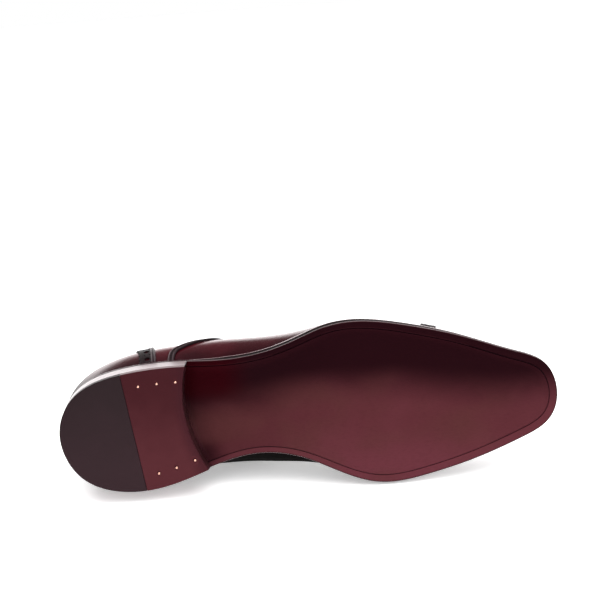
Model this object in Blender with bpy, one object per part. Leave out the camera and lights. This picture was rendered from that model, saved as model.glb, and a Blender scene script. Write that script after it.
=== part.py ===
"""Right oxford shoe: a one-piece leather upper with raised trim bands, on a welted leather sole.

The shoe is modelled upright from the tables of its last, in millimetres.  The empty that carries
every piece then lays it on its inner side, where it rests on the edges of its heel and sole and on
the side of its upper.

Upright, X runs from the back of the heel to the toe, +Y is the inner (medial) side, +Z is up and
the walking faces of heel and sole are at Z 0.  Laid down, +X is still the toe, the sole faces -Y,
the outer (lateral) side is up and the floor is at Z 0.
"""

import math
from collections import namedtuple

import bmesh
import bpy
import numpy as np
from mathutils import Euler, Matrix, Vector

MM = 0.001

# ---------------------------------------------------------------- driving sizes, in millimetres

GAP = 0.3                 # left between two pieces that lie on each other
OUTSOLE_THICK = 5.0
WELT_THICK = 2.6
WELT_STEP = 0.3           # how far the welt's edge lies inside the outsole's
UPPER_WALL = 2.2
INSOLE_RISE = 1.4         # how far the insole stands above the welt

HEEL_OUTER_CORNER = 81.3  # X of the two corners of the heel's front
HEEL_INNER_CORNER = 92.0
HEEL_SAG = 7.0            # how far the heel's front curves back between them
HEEL_TAPER = 1.3          # how far the walking face lies inside the heel seat
HEEL_LEAN = 0.6           # how far its front leans back for each millimetre of taper
HEEL_HEIGHT = 24.0
TOP_PIECE_THICK = 6.0
LIFTS = 3
LIFT_THICK = 5.2
SPLIT_OUTER = 40.0        # X where the rubber half of the top piece ends, on each side
SPLIT_INNER = 52.0

NAILS_A_SIDE = 3
NAIL_FIRST = 10.0         # from the joint of the top piece to the first nail
NAIL_PITCH = 12.2
NAIL_INSET = 10.5
NAIL_RADIUS = 0.8
NAIL_LENGTH = 4.0
NAIL_HOLE = 1.15

BAND_THICK = 1.0
TRIM_WIDTH = 4.0
TOE_BAND_WIDTH = 10.0
TOE_BAND_OUTER = 9.36     # row numbers of the toe band's middle at the sole and at the ridge
TOE_BAND_INNER = 9.23
TOE_BAND_RIDGE = 9.72
HEEL_BAND_WIDTH = 11.0
HEEL_BAND_OUTER = 2.41
HEEL_BAND_INNER = 2.3
HEEL_BAND_TOP = 0.965     # share of the upper's height that the heel bands cover

EYELETS = 6
EYELET_TOP_ROW = 5.22     # row numbers of the top and the lowest pair
EYELET_LOW_ROW = 6.9
EYELET_INSET = 8.0        # from the facing's edge to the middle of a hole
EYELET_RADIUS = 2.2
LACE_RADIUS = 1.0
LACE_CLEAR = 0.55
LACE_ROOM = 3.2           # between the facings and the tongue
LACE_BESIDE = 5.0         # from the facing's edge to the hidden run back to the top
LACE_STEP = 4.0           # length of the lace's straight pieces

TONGUE_THICK = 2.4
TONGUE_FRONT_ROW = 7.9
TONGUE_TOP_ROW = 5.1
TONGUE_WIDE = 19.0        # from each facing's edge to the tongue's edge, low and high on it
TONGUE_NARROW = 8.0
TONGUE_WIDE_ROW = 6.2     # row number from which the tongue has its full width
TONGUE_RISE = 13.0        # how far it stands above the facings
TONGUE_RISE_SHARE = 0.15  # share of its rows that stand above them
TONGUE_TAPER = 4.0

# The shoe lies on its inner side: its turn about the shoe's length, and the rise of its toe.
LIE_ROLL = math.radians(10.5)
LIE_PITCH = math.radians(-0.3)

# Height of the outsole's underside along the shoe: heel seat, waist, tread and toe spring.
BottomRow = namedtuple("BottomRow", "x underside")
BOTTOM = [
    BottomRow(-10, 25.6),
    BottomRow(40, 23.8),
    BottomRow(80, 20.8),
    BottomRow(110, 16.4),
    BottomRow(140, 9.6),
    BottomRow(170, 3.0),
    BottomRow(200, 0.0),
    BottomRow(230, 0.7),
    BottomRow(260, 3.6),
    BottomRow(290, 8.4),
    BottomRow(320, 15.6),
]

# One row for each section of the last, from the heel along one side to the toe.
#   sole_x, sole_y       the edge of the outsole
#   margin               how far the upper's lower edge lies inside the outsole's edge
#   top_x, top_y, top_z  where the section ends: topline, edge of the facing or ridge of the vamp
#   flare, rise          lean out in degrees, and strength, of the section as it leaves the sole
#   turn                 plan angle of the section at its top: 0 sideways, 90 forward, -90 back
#   roof, reach          fall in degrees, and strength, of the section as it leaves its top
LastRow = namedtuple(
    "LastRow", "name sole_x sole_y margin top_x top_y top_z flare rise turn roof reach"
)
OUTER = [
    LastRow("heel_back", -0.9, 6.5, 2.0, 6.5, 6.5, 94.0, 14, 30, -90, 80, 24),
    LastRow("heel_round", 9.8, -18.2, 2.0, 13.5, -8.0, 92.5, 18, 32, -45, 80, 24),
    LastRow("heel_side", 40.0, -30.4, 2.0, 37.0, -19.0, 85.5, 28, 36, -6, 78, 22),
    LastRow("ankle", 78.0, -33.0, 1.6, 67.0, -21.0, 83.0, 36, 38, 4, 74, 20),
    LastRow("collar_front", 104.0, -32.6, 1.2, 92.0, -16.0, 93.0, 43, 40, 10, 60, 20),
    LastRow("facing_top", 128.0, -35.7, 1.4, 107.0, -3.0, 106.0, 42, 38, 4, 42, 26),
    LastRow("facing_low", 150.0, -42.9, 2.4, 136.0, -3.0, 91.5, 30, 34, 0, 32, 26),
    LastRow("throat", 170.0, -50.4, 3.3, 163.0, -2.4, 76.0, 23, 29, 0, 18, 29),
    LastRow("ball", 190.0, -52.4, 3.7, 188.0, -0.6, 63.0, 25, 26, 0, 4, 32),
    LastRow("vamp", 221.0, -47.5, 3.7, 214.0, 0.0, 52.0, 34, 23, 0, 0, 30),
    LastRow("cap", 254.0, -38.2, 3.8, 240.0, 0.8, 44.0, 39, 20, 0, 0, 26),
    LastRow("toe_side", 286.0, -26.2, 4.5, 262.0, 1.6, 39.6, 24, 15, 14, 2, 20),
    LastRow("toe_corner", 305.4, -16.0, 5.0, 274.0, 2.0, 37.6, 7, 9, 52, 8, 19),
    LastRow("toe_tip", 311.3, 2.6, 5.2, 278.0, 2.3, 36.8, 7, 9, 90, 11, 19),
]
INNER = [
    OUTER[0],
    LastRow("heel_round", 11.0, 33.8, 2.0, 13.5, 21.5, 93.0, 2, 28, -45, 80, 24),
    LastRow("heel_side", 44.0, 45.4, 2.0, 37.0, 29.0, 87.5, -9, 30, -6, 78, 22),
    LastRow("ankle", 80.0, 39.0, 1.4, 67.0, 25.5, 86.0, 9, 32, 4, 74, 20),
    LastRow("collar_front", 104.0, 31.0, 1.2, 92.0, 18.5, 94.5, 28, 40, 10, 52, 25),
    LastRow("facing_top", 126.0, 27.4, 1.2, 107.0, 6.0, 106.0, 34, 46, 4, 32, 36),
    LastRow("facing_low", 150.0, 31.2, 1.6, 136.0, 3.0, 91.5, 38, 36, 0, 28, 30),
    LastRow("throat", 172.0, 40.8, 3.0, 163.0, 0.4, 76.0, 24, 27, 0, 18, 28),
    LastRow("ball", 194.0, 48.3, 4.0, 188.0, -0.6, 63.0, 12, 22, 0, 4, 29),
    LastRow("vamp", 226.0, 46.0, 4.5, 214.0, 0.0, 52.0, 7, 18, 0, 0, 26),
    LastRow("cap", 257.0, 38.4, 4.6, 240.0, 0.8, 44.0, 7, 14, 0, 0, 22),
    LastRow("toe_side", 288.0, 27.8, 4.8, 262.0, 1.6, 39.6, 7, 11, 14, 2, 19),
    LastRow("toe_corner", 304.8, 18.6, 5.0, 274.0, 2.0, 37.6, 7, 9, 52, 8, 19),
    OUTER[-1],
]
ROWS = len(OUTER) - 1
THROAT = 7
SLIT_END = 7.35           # row number where the two facings meet in the vamp

# Path of the trim that runs from the sole up the side and forward to the throat: row number, and
# how far up the section on the outer and the inner side, 0 at the sole and 1 at the top.
TrimRow = namedtuple("TrimRow", "row outer inner")
TRIM = [
    TrimRow(2.8, 0.0, 0.0),
    TrimRow(2.84, 0.09, 0.1),
    TrimRow(2.96, 0.165, 0.19),
    TrimRow(3.2, 0.235, 0.28),
    TrimRow(3.6, 0.33, 0.38),
    TrimRow(4.1, 0.435, 0.48),
    TrimRow(4.8, 0.55, 0.58),
    TrimRow(5.6, 0.67, 0.69),
    TrimRow(6.4, 0.765, 0.775),
    TrimRow(7.1, 0.85, 0.85),
    TrimRow(7.55, 0.93, 0.93),
    TrimRow(7.68, 0.985, 0.985),
]

COLOURS = {
    "sole_leather": ((0.13, 0.032, 0.042), 0.32, 0.0),
    "upper_leather": ((0.055, 0.008, 0.012), 0.25, 0.0),
    "band_leather": ((0.012, 0.006, 0.007), 0.3, 0.0),
    "welt_leather": ((0.09, 0.03, 0.03), 0.45, 0.0),
    "heel_leather": ((0.06, 0.014, 0.018), 0.3, 0.0),
    "heel_rubber": ((0.035, 0.022, 0.024), 0.6, 0.0),
    "lining_leather": ((0.32, 0.2, 0.12), 0.6, 0.0),
    "brass": ((0.75, 0.52, 0.2), 0.25, 1.0),
    "lace_cotton": ((0.02, 0.008, 0.01), 0.7, 0.0),
}


# ---------------------------------------------------------------- curves and surfaces of the last

class Curve:
    """Cubic spline through rows of numbers, closed on itself or with free ends."""

    def __init__(self, places, rows, closed):
        self.places = np.array(places, float)
        self.rows = np.array(rows, float)
        self.closed = closed
        steps = np.diff(self.places)
        rise = np.diff(self.rows, axis=0)
        count = len(self.rows) - 1
        slopes = rise / steps[:, None]
        system = np.eye(count + 1)
        right = np.zeros_like(self.rows)
        for i in range(0 if closed else 1, count):
            system[i, i] = 2.0 * (steps[i - 1] + steps[i])
            system[i, i - 1 if i else count - 1] = steps[i - 1]
            system[i, i + 1] = steps[i]
            right[i] = 6.0 * (slopes[i] - slopes[i - 1])
        if closed:
            system[count, 0] = -1.0
        self.bends = np.linalg.solve(system, right)

    def at(self, place):
        if self.closed:
            place = place % self.places[-1]
        i = int(np.clip(np.searchsorted(self.places, place, "right") - 1, 0, len(self.places) - 2))
        step = self.places[i + 1] - self.places[i]
        b = (place - self.places[i]) / step
        a = 1.0 - b
        curve = (a ** 3 - a) * self.bends[i] + (b ** 3 - b) * self.bends[i + 1]
        return a * self.rows[i] + b * self.rows[i + 1] + curve * step * step / 6.0


def column_values(row, side):
    """The numbers of a last row, with its turn as a direction that the spline can carry round."""
    turn = math.radians(row.turn)
    return [
        row.sole_x, row.sole_y, row.margin, row.top_x, row.top_y, row.top_z,
        row.flare, row.rise, row.roof, row.reach, math.sin(turn), side * math.cos(turn),
    ]


def row_places():
    """Distance of each row round the sole, the same for both sides."""
    places = [0.0]
    for i in range(ROWS):
        steps = [
            math.dist((a[i].sole_x, a[i].sole_y), (a[i + 1].sole_x, a[i + 1].sole_y))
            for a in (OUTER, INNER)
        ]
        places.append(places[-1] + sum(steps) / 2.0)
    return places


PLACES = row_places()
HALF = PLACES[-1]
LAST = Curve(
    PLACES + [2.0 * HALF - place for place in reversed(PLACES[:-1])],
    [column_values(row, -1.0) for row in OUTER]
    + [column_values(row, 1.0) for row in reversed(INNER[:-1])],
    closed=True,
)
UNDERSIDE = Curve([row.x for row in BOTTOM], [[row.underside] for row in BOTTOM], closed=False)


def underside(x):
    return UNDERSIDE.at(x)[0]


def welt_top(x):
    return underside(x) + OUTSOLE_THICK + GAP + WELT_THICK


def place_of(row, side):
    """Place on the last's loop of a row number on the outer (-1) or inner (+1) side."""
    place = float(np.interp(row, range(ROWS + 1), PLACES))
    return place if side < 0 else 2.0 * HALF - place


def sole_edge(place, inset=0.0):
    """Plan point at a distance inside the outsole's edge, and the plan direction out of it."""
    point = LAST.at(place)[:2]
    ahead = LAST.at(place + 0.5)[:2] - LAST.at(place - 0.5)[:2]
    out = np.array([ahead[1], -ahead[0]]) / np.hypot(*ahead)
    return point - inset * out, out


def section(place):
    """The four control points of the upper's outer face across the last at this place."""
    values = LAST.at(place)
    margin = values[2]
    flare = math.radians(values[6])
    roof = math.radians(values[8])
    foot, out = sole_edge(place, margin)
    side = values[10:12] / np.hypot(*values[10:12])
    start = np.array([foot[0], foot[1], welt_top(foot[0]) + GAP])
    lean = np.array([out[0] * math.sin(flare), out[1] * math.sin(flare), math.cos(flare)])
    fall = np.array([side[0] * math.cos(roof), side[1] * math.cos(roof), -math.sin(roof)])
    top = values[3:6]
    return start, start + values[7] * lean, top + values[9] * fall, top


def bezier(a, b, c, d, t):
    s = 1.0 - t
    return s ** 3 * a + 3 * s * s * t * b + 3 * s * t * t * c + t ** 3 * d


def on_last(place, height):
    """Point on the upper's outer face, at a share of its height from the sole to its top."""
    return bezier(*section(place), height)


def upper_face(place, height, lift):
    """Point at a distance out of the upper's outer face."""
    near = min(max(height, 0.01), 0.985)
    along = on_last(place + 0.5, near) - on_last(place - 0.5, near)
    up = on_last(place, near + 0.01) - on_last(place, near - 0.01)
    out = np.cross(along, up)
    return on_last(place, height) + lift * out / np.linalg.norm(out)


def blend(a, b, t):
    return a + (b - a) * t


# ---------------------------------------------------------------- making pieces

def clear_scene():
    for item in list(bpy.data.objects):
        bpy.data.objects.remove(item, do_unlink=True)


def material(name):
    found = bpy.data.materials.get(name)
    if found:
        return found
    colour, roughness, metallic = COLOURS[name]
    made = bpy.data.materials.new(name)
    made.use_nodes = True
    shader = made.node_tree.nodes["Principled BSDF"]
    shader.inputs["Base Color"].default_value = (*colour, 1.0)
    shader.inputs["Roughness"].default_value = roughness
    shader.inputs["Metallic"].default_value = metallic
    return made


def add_piece(name, mesh, carrier, finish, sharp=35.0):
    """Turn a mesh in millimetres into an object that the carrier holds."""
    bmesh.ops.scale(mesh, vec=(MM, MM, MM), verts=mesh.verts)
    bmesh.ops.recalc_face_normals(mesh, faces=mesh.faces)
    data = bpy.data.meshes.new(name)
    mesh.to_mesh(data)
    mesh.free()
    data.shade_smooth()
    data.set_sharp_from_angle(angle=math.radians(sharp))
    piece = bpy.data.objects.new(name, data)
    bpy.context.collection.objects.link(piece)
    piece.parent = carrier
    data.materials.append(material(finish))
    return piece


def block(shape, along, across):
    """Closed solid between two skins: shape(s, t, skin) is a point, with all three from 0 to 1."""
    mesh = bmesh.new()
    bmesh.ops.create_grid(mesh, x_segments=along, y_segments=across, size=0.5)
    s_layer = mesh.verts.layers.float.new("s")
    t_layer = mesh.verts.layers.float.new("t")
    for vert in mesh.verts:
        vert[s_layer] = min(max(vert.co.x + 0.5, 0.0), 1.0)
        vert[t_layer] = min(max(vert.co.y + 0.5, 0.0), 1.0)
        vert.co = Vector(shape(vert[s_layer], vert[t_layer], 0.0))
    bmesh.ops.remove_doubles(mesh, verts=mesh.verts, dist=0.01)
    grown = bmesh.ops.extrude_face_region(mesh, geom=mesh.faces[:], use_keep_orig=True)
    for vert in [item for item in grown["geom"] if isinstance(item, bmesh.types.BMVert)]:
        vert.co = Vector(shape(vert[s_layer], vert[t_layer], 1.0))
    return mesh


def across_sole(s, t, inset):
    """Plan point on the line across the sole between two facing places, inside its edge."""
    places = (s * HALF, (2.0 - s) * HALF)
    outer, inner = [sole_edge(place, inset(place))[0] for place in places]
    return blend(outer, inner, t)


# ---------------------------------------------------------------- sole and heel

def make_outsole(carrier):
    def shape(s, t, skin):
        x, y = across_sole(s, t, lambda place: 0.0)
        return x, y, underside(x) + skin * OUTSOLE_THICK

    add_piece("outsole", block(shape, along=48, across=4), carrier, "sole_leather")


def upper_foot_inset(place):
    """How far inside the sole's edge the inner side of the upper stands."""
    return LAST.at(place)[2] + UPPER_WALL + GAP


def make_welt(carrier):
    def shape(s, t, skin):
        place = s * 2.0 * HALF
        x, y = sole_edge(place, blend(WELT_STEP, upper_foot_inset(place), t))[0]
        return x, y, underside(x) + OUTSOLE_THICK + GAP + skin * WELT_THICK

    add_piece("welt", block(shape, along=92, across=1), carrier, "welt_leather")


def make_insole(carrier):
    def shape(s, t, skin):
        x, y = across_sole(s, t, lambda place: upper_foot_inset(place) + 2.0 * GAP)
        return x, y, underside(x) + OUTSOLE_THICK + GAP + skin * (GAP + WELT_THICK + INSOLE_RISE)

    add_piece("insole", block(shape, along=40, across=2), carrier, "lining_leather")


def place_at_x(side, x):
    """Distance from the heel's back along one side to where the sole's edge reaches a given X."""
    low, high = 0.0, PLACES[8]
    for _ in range(40):
        middle = (low + high) / 2.0
        place = middle if side < 0 else 2.0 * HALF - middle
        if sole_edge(place)[0][0] < x:
            low = middle
        else:
            high = middle
    return low


OUTER_CORNER = place_at_x(-1.0, HEEL_OUTER_CORNER)
INNER_CORNER = place_at_x(1.0, HEEL_INNER_CORNER)


def heel_inset(z):
    """How far the heel's side lies inside the sole's edge at a height."""
    return HEEL_TAPER * (1.0 - z / HEEL_HEIGHT)


def heel_line(outer_reach, inner_reach, t, inset):
    """Plan point on the line across the heel between two distances from its back."""
    outer = sole_edge(outer_reach, inset)[0]
    inner = sole_edge(2.0 * HALF - inner_reach, inset)[0]
    return blend(outer, inner, t)


def bow(s, t, inset):
    """How far the lines across the heel curve back: not at its back, fully at its front."""
    return s ** 2 * (HEEL_SAG * 4.0 * t * (1.0 - t) + HEEL_LEAN * inset)


def make_heel_lifts(carrier):
    for number in range(LIFTS):
        bottom = TOP_PIECE_THICK + GAP + number * (LIFT_THICK + GAP)

        def shape(s, t, skin, bottom=bottom, is_seat=number == LIFTS - 1):
            top = bottom + LIFT_THICK
            inset = heel_inset(blend(bottom, top, skin))
            x, y = heel_line(s * OUTER_CORNER, s * INNER_CORNER, t, inset)
            x -= bow(s, t, inset)
            if is_seat:
                top = underside(x) - GAP
            return x, y, blend(bottom, top, skin)

        add_piece(f"heel_lift_{number + 1}", block(shape, along=14, across=5), carrier, "heel_leather")


def make_top_piece(carrier):
    """The walking piece of the heel: rubber behind a straight joint, nailed leather before it."""
    outer_joint = place_at_x(-1.0, SPLIT_OUTER)
    inner_joint = place_at_x(1.0, SPLIT_INNER)

    def rubber(s, t, skin):
        z = skin * TOP_PIECE_THICK
        x, y = heel_line(s * outer_joint, s * inner_joint, t, heel_inset(z))
        return x, y, z

    def leather(s, t, skin):
        z = skin * TOP_PIECE_THICK
        inset = heel_inset(z)
        outer = blend(outer_joint + GAP, OUTER_CORNER, s)
        inner = blend(inner_joint + GAP, INNER_CORNER, s)
        x, y = heel_line(outer, inner, t, inset)
        return x - bow(s, t, inset), y, z

    add_piece("top_piece_rubber", block(rubber, along=12, across=4), carrier, "heel_rubber")
    front = add_piece("top_piece_leather", block(leather, along=5, across=5), carrier, "heel_leather")
    nails = nail_points()
    drill(front, [(point, (0, 0, 1)) for point in nails], NAIL_HOLE, 2.0 * (NAIL_LENGTH + GAP))
    for number, (x, y, z) in enumerate(nails):
        nail = bmesh.new()
        bmesh.ops.create_cone(
            nail, cap_ends=True, segments=12, radius1=NAIL_RADIUS, radius2=NAIL_RADIUS,
            depth=NAIL_LENGTH, matrix=Matrix.Translation((x, y, z + NAIL_LENGTH / 2.0)),
        )
        add_piece(f"heel_nail_{number + 1}", nail, carrier, "brass")


def nail_points():
    """Where the nails show in the walking face: a row of three along each side."""
    points = []
    for side, first in ((-1.0, SPLIT_OUTER), (1.0, SPLIT_INNER)):
        for number in range(NAILS_A_SIDE):
            reach = place_at_x(side, first + NAIL_FIRST + number * NAIL_PITCH)
            place = reach if side < 0 else 2.0 * HALF - reach
            x, y = sole_edge(place, NAIL_INSET)[0]
            points.append((x, y, 0.0))
    return points


def drill(piece, holes, radius, depth):
    """Cut round holes through a piece, each given by its middle and its direction."""
    cutter = bmesh.new()
    for middle, direction in holes:
        turn = Vector((0, 0, 1)).rotation_difference(Vector(direction)).to_matrix().to_4x4()
        bmesh.ops.create_cone(
            cutter, cap_ends=True, segments=12, radius1=radius, radius2=radius,
            depth=depth, matrix=Matrix.Translation(middle) @ turn,
        )
    tool = add_piece(piece.name + "_holes", cutter, piece.parent, "brass")
    tool.hide_render = True
    tool.display_type = "WIRE"
    cut = piece.modifiers.new("holes", "BOOLEAN")
    cut.operation = "DIFFERENCE"
    cut.solver = "EXACT"
    cut.object = tool


# ---------------------------------------------------------------- upper and what is laid on it

def make_upper(carrier):
    """The hollow leather body: open at the collar, along the lacing and underneath."""
    slit_end = place_of(SLIT_END, -1.0)

    def shape(s, t, skin):
        place = 2.0 * HALF * s
        point = upper_face(place, t, -skin * UPPER_WALL)
        is_ridge = t > 0.999 and slit_end <= place <= 2.0 * HALF - slit_end
        if is_ridge:
            point = (point + upper_face(2.0 * HALF - place, t, -skin * UPPER_WALL)) / 2.0
        if t < 0.001:
            point[2] = welt_top(point[0]) + GAP
        return point

    upper = add_piece("upper", block(shape, along=92, across=10), carrier, "upper_leather")
    drill(upper, eyelet_holes(), EYELET_RADIUS, 4.0 * UPPER_WALL)


def facing_height(place, distance):
    """Height of a point at a distance from the section's top, measured along the section."""
    reach = LAST.at(place)[9]
    return 1.0 - distance / (3.0 * reach)


def eyelet_row(number):
    """Row number of a pair of eyelets, from the top pair down to the throat."""
    return blend(EYELET_TOP_ROW, EYELET_LOW_ROW, number / (EYELETS - 1))


def eyelet_holes():
    holes = []
    for number in range(EYELETS):
        for side in (-1.0, 1.0):
            top = lace_point(number, side, EYELET_INSET, 1.0)
            bottom = lace_point(number, side, EYELET_INSET, -1.0 - UPPER_WALL)
            holes.append(((top + bottom) / 2.0, top - bottom))
    return holes


def beside(path, s, offset):
    """Place and height beside a path over the upper, at an offset to its left."""
    place, height = path(s)
    ahead = on_last(*path(min(s + 0.01, 1.0))) - on_last(*path(max(s - 0.01, 0.0)))
    along = on_last(place + 0.5, height) - on_last(place - 0.5, height)
    low = min(max(height - 0.01, 0.0), 0.98)
    up = (on_last(place, low + 0.02) - on_last(place, low)) / 0.02
    across = np.cross(np.cross(along, up), ahead)
    across *= offset / np.linalg.norm(across)
    move = np.linalg.lstsq(np.stack([along, up], axis=1), across, rcond=None)[0]
    return place + move[0], min(max(height + move[1], 0.0), 1.0)


def above_welt(point):
    return point[0], point[1], max(point[2], welt_top(point[0]) + GAP)


def make_ribbon(name, path, width, along, carrier):
    """A raised strip of leather that follows a path over the upper."""
    def shape(s, t, skin):
        place, height = beside(path, s, (t - 0.5) * width)
        return above_welt(upper_face(place, height, GAP + skin * BAND_THICK))

    add_piece(name, block(shape, along, across=2), carrier, "band_leather")


def make_toe_band(carrier):
    """The strip across the front of the vamp, from welt to welt."""
    def path_on(side):
        feet = TOE_BAND_OUTER if side < 0 else TOE_BAND_INNER

        def path(height):
            return place_of(blend(feet, TOE_BAND_RIDGE, height ** 1.5), side), height
        return path

    def shape(s, t, skin):
        side = -1.0 if s <= 0.5 else 1.0
        height = 2.0 * s if s <= 0.5 else 2.0 - 2.0 * s
        spot = beside(path_on(side), height, side * (t - 0.5) * TOE_BAND_WIDTH)
        return above_welt(upper_face(*spot, GAP + skin * BAND_THICK))

    add_piece("toe_band", block(shape, along=28, across=2), carrier, "band_leather")


def make_heel_bands(carrier):
    for name, side, row in (("outer", -1.0, HEEL_BAND_OUTER), ("inner", 1.0, HEEL_BAND_INNER)):
        def path(s, side=side, row=row):
            return place_of(row, side), s * HEEL_BAND_TOP

        make_ribbon(f"heel_band_{name}", path, HEEL_BAND_WIDTH, 14, carrier)


def make_trims(carrier):
    rows = Curve(range(len(TRIM)), TRIM, closed=False)
    for name, side in (("outer", -1.0), ("inner", 1.0)):
        def path(s, side=side):
            row, outer, inner = rows.at(s * (len(TRIM) - 1))
            return place_of(row, side), outer if side < 0 else inner

        make_ribbon(f"quarter_trim_{name}", path, TRIM_WIDTH, 34, carrier)


# ---------------------------------------------------------------- tongue and lace

def bridge(row, distance, lift, t):
    """Point on an arch that joins the two facings across the lacing."""
    ends = []
    for side in (-1.0, 1.0):
        place = place_of(row, side)
        height = facing_height(place, distance)
        point = upper_face(place, height, lift)
        lower = upper_face(place, height - 0.02, lift)
        ends.append((point, (point - lower) / np.linalg.norm(point - lower)))
    a, d = ends[0][0], ends[1][0]
    pull = np.linalg.norm(a - d) / 3.0
    return bezier(a, a + pull * ends[0][1], d + pull * ends[1][1], d, t)


def share_between(value, start, end):
    """How far a value is on its way from a start to an end, from 0 to 1."""
    return min(max((value - start) / (end - start), 0.0), 1.0)


def make_tongue(carrier):
    """The leather flap under the lacing, from beneath the vamp to above the collar."""
    top_share = 1.0 - TONGUE_RISE_SHARE

    def shape(s, t, skin):
        row = blend(TONGUE_FRONT_ROW, TONGUE_TOP_ROW, share_between(s, 0.0, top_share))
        room = blend(LACE_ROOM, GAP, share_between(row, THROAT, TONGUE_FRONT_ROW))
        depth = UPPER_WALL + room + (1.0 - skin) * TONGUE_THICK
        beyond = share_between(s, top_share, 1.0)
        narrow = share_between(row, TONGUE_WIDE_ROW, TONGUE_TOP_ROW)
        width = blend(TONGUE_WIDE, TONGUE_NARROW, narrow) - beyond * TONGUE_TAPER
        point = bridge(row, width, -depth, t)
        if beyond:
            up = point - bridge(row + 0.2, width, -depth, t)
            point = point + up / np.linalg.norm(up) * beyond * TONGUE_RISE
        return point

    add_piece("tongue", block(shape, along=18, across=8), carrier, "upper_leather")


def lace_point(number, side, distance, lift):
    """Point near the facing: an eyelet's number, a distance from the facing's edge and a lift."""
    place = place_of(eyelet_row(number), side)
    return upper_face(place, facing_height(place, distance), lift)


def lace_route():
    """Points along the lace: a bar over each pair of eyelets but the top one, hidden between."""
    over = LACE_RADIUS + LACE_CLEAR
    under = -UPPER_WALL - LACE_RADIUS - LACE_CLEAR
    last = EYELETS - 1
    deep = EYELET_INSET

    def through(number, side, coming):
        """Up through an eyelet, from the hidden run that comes from the eyelet beside it."""
        return [
            lace_point(number + 0.34 * coming, side, deep, under),
            lace_point(number + 0.14 * coming, side, deep, under + 0.5),
            lace_point(number, side, deep, -0.5 * UPPER_WALL),
            lace_point(number, side, deep - 0.3, 0.8),
            lace_point(number, side, deep - 2.1, over + 0.1),
        ]

    def bar(number, side):
        """Over the lacing, from one facing to the other."""
        row = eyelet_row(number)
        way = [bridge(row, 1.0, over, share) for share in (0.0, 0.5, 1.0)]
        return way if side < 0 else way[::-1]

    side = -1.0
    route = [
        lace_point(0, side, deep, 0.4),
        lace_point(0, side, deep, -0.5 * UPPER_WALL),
        lace_point(0.14, side, deep, under + 0.5),
        lace_point(0.34, side, deep, under),
    ]
    for number in range(1, last + 1):
        route += through(number, side, -1.0)
        route += bar(number, side)
        side = -side
        coming = 1.0 if number < last else -1.0
        route += through(number, side, coming)[::-1]
    route.pop()
    route.append(lace_point(last - 0.4, side, 0.5 * (deep + LACE_BESIDE), under))
    for number in range(last - 1, 0, -1):
        route.append(lace_point(number, side, LACE_BESIDE, under))
    route.append(lace_point(0.55, side, LACE_BESIDE + 0.8, under))
    route.append(lace_point(0.2, side, deep - 0.4, under + 0.4))
    route.append(lace_point(0, side, deep, -0.5 * UPPER_WALL))
    route.append(lace_point(0, side, deep, 0.4))
    return route


def make_lace(carrier):
    route = lace_route()
    lengths = [math.dist(a, b) for a, b in zip(route, route[1:])]
    places = np.concatenate([[0.0], np.cumsum(lengths)])
    smooth = Curve(places, route, closed=False)
    points = []
    for start, length in zip(places, lengths):
        steps = max(2, round(length / LACE_STEP))
        points += [smooth.at(start + length * step / steps) for step in range(steps)]
    points.append(route[-1])
    data = bpy.data.curves.new("lace", "CURVE")
    data.dimensions = "3D"
    line = data.splines.new("POLY")
    line.points.add(len(points) - 1)
    for spot, point in zip(line.points, points):
        spot.co = (*(MM * point), 1.0)
    data.bevel_depth = LACE_RADIUS * MM
    data.bevel_resolution = 1
    data.use_fill_caps = True
    lace = bpy.data.objects.new("lace", data)
    bpy.context.collection.objects.link(lace)
    lace.parent = carrier
    data.materials.append(material("lace_cotton"))


# ---------------------------------------------------------------- the shoe on its side

def lay_down(carrier):
    """Turn the shoe onto its inner side, over the middle of its own box, on the floor."""
    carrier.rotation_euler = Euler((-math.pi / 2.0 - LIE_ROLL, -LIE_PITCH, 0.0))
    bpy.context.view_layer.update()
    corners = [
        piece.matrix_world @ vert.co
        for piece in bpy.data.objects if piece.type == "MESH" and not piece.hide_render
        for vert in piece.data.vertices
    ]
    low = [min(corner[axis] for corner in corners) for axis in range(3)]
    high = [max(corner[axis] for corner in corners) for axis in range(3)]
    carrier.location = (-(low[0] + high[0]) / 2.0, -(low[1] + high[1]) / 2.0, -low[2])


def main():
    clear_scene()
    carrier = bpy.data.objects.new("shoe", None)
    bpy.context.collection.objects.link(carrier)
    make_outsole(carrier)
    make_welt(carrier)
    make_insole(carrier)
    make_heel_lifts(carrier)
    make_top_piece(carrier)
    make_upper(carrier)
    make_toe_band(carrier)
    make_heel_bands(carrier)
    make_trims(carrier)
    make_tongue(carrier)
    make_lace(carrier)
    lay_down(carrier)


main()
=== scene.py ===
"""Right oxford shoe of polished burgundy leather, lying on its inner side.

Every piece is made upright from the tables of the shoe's last, in millimetres: X runs from the
back of the heel to the toe, +Y is the inner side and +Z is up, with the walking faces at Z 0.
LAY then turns it onto its side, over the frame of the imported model.
"""

import bisect
import functools
import math
from collections import namedtuple

import bmesh
import bpy
import numpy as np
from bpy.props import FloatProperty, FloatVectorProperty, PointerProperty
from mathutils import Color, Euler, Matrix, Vector


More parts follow.
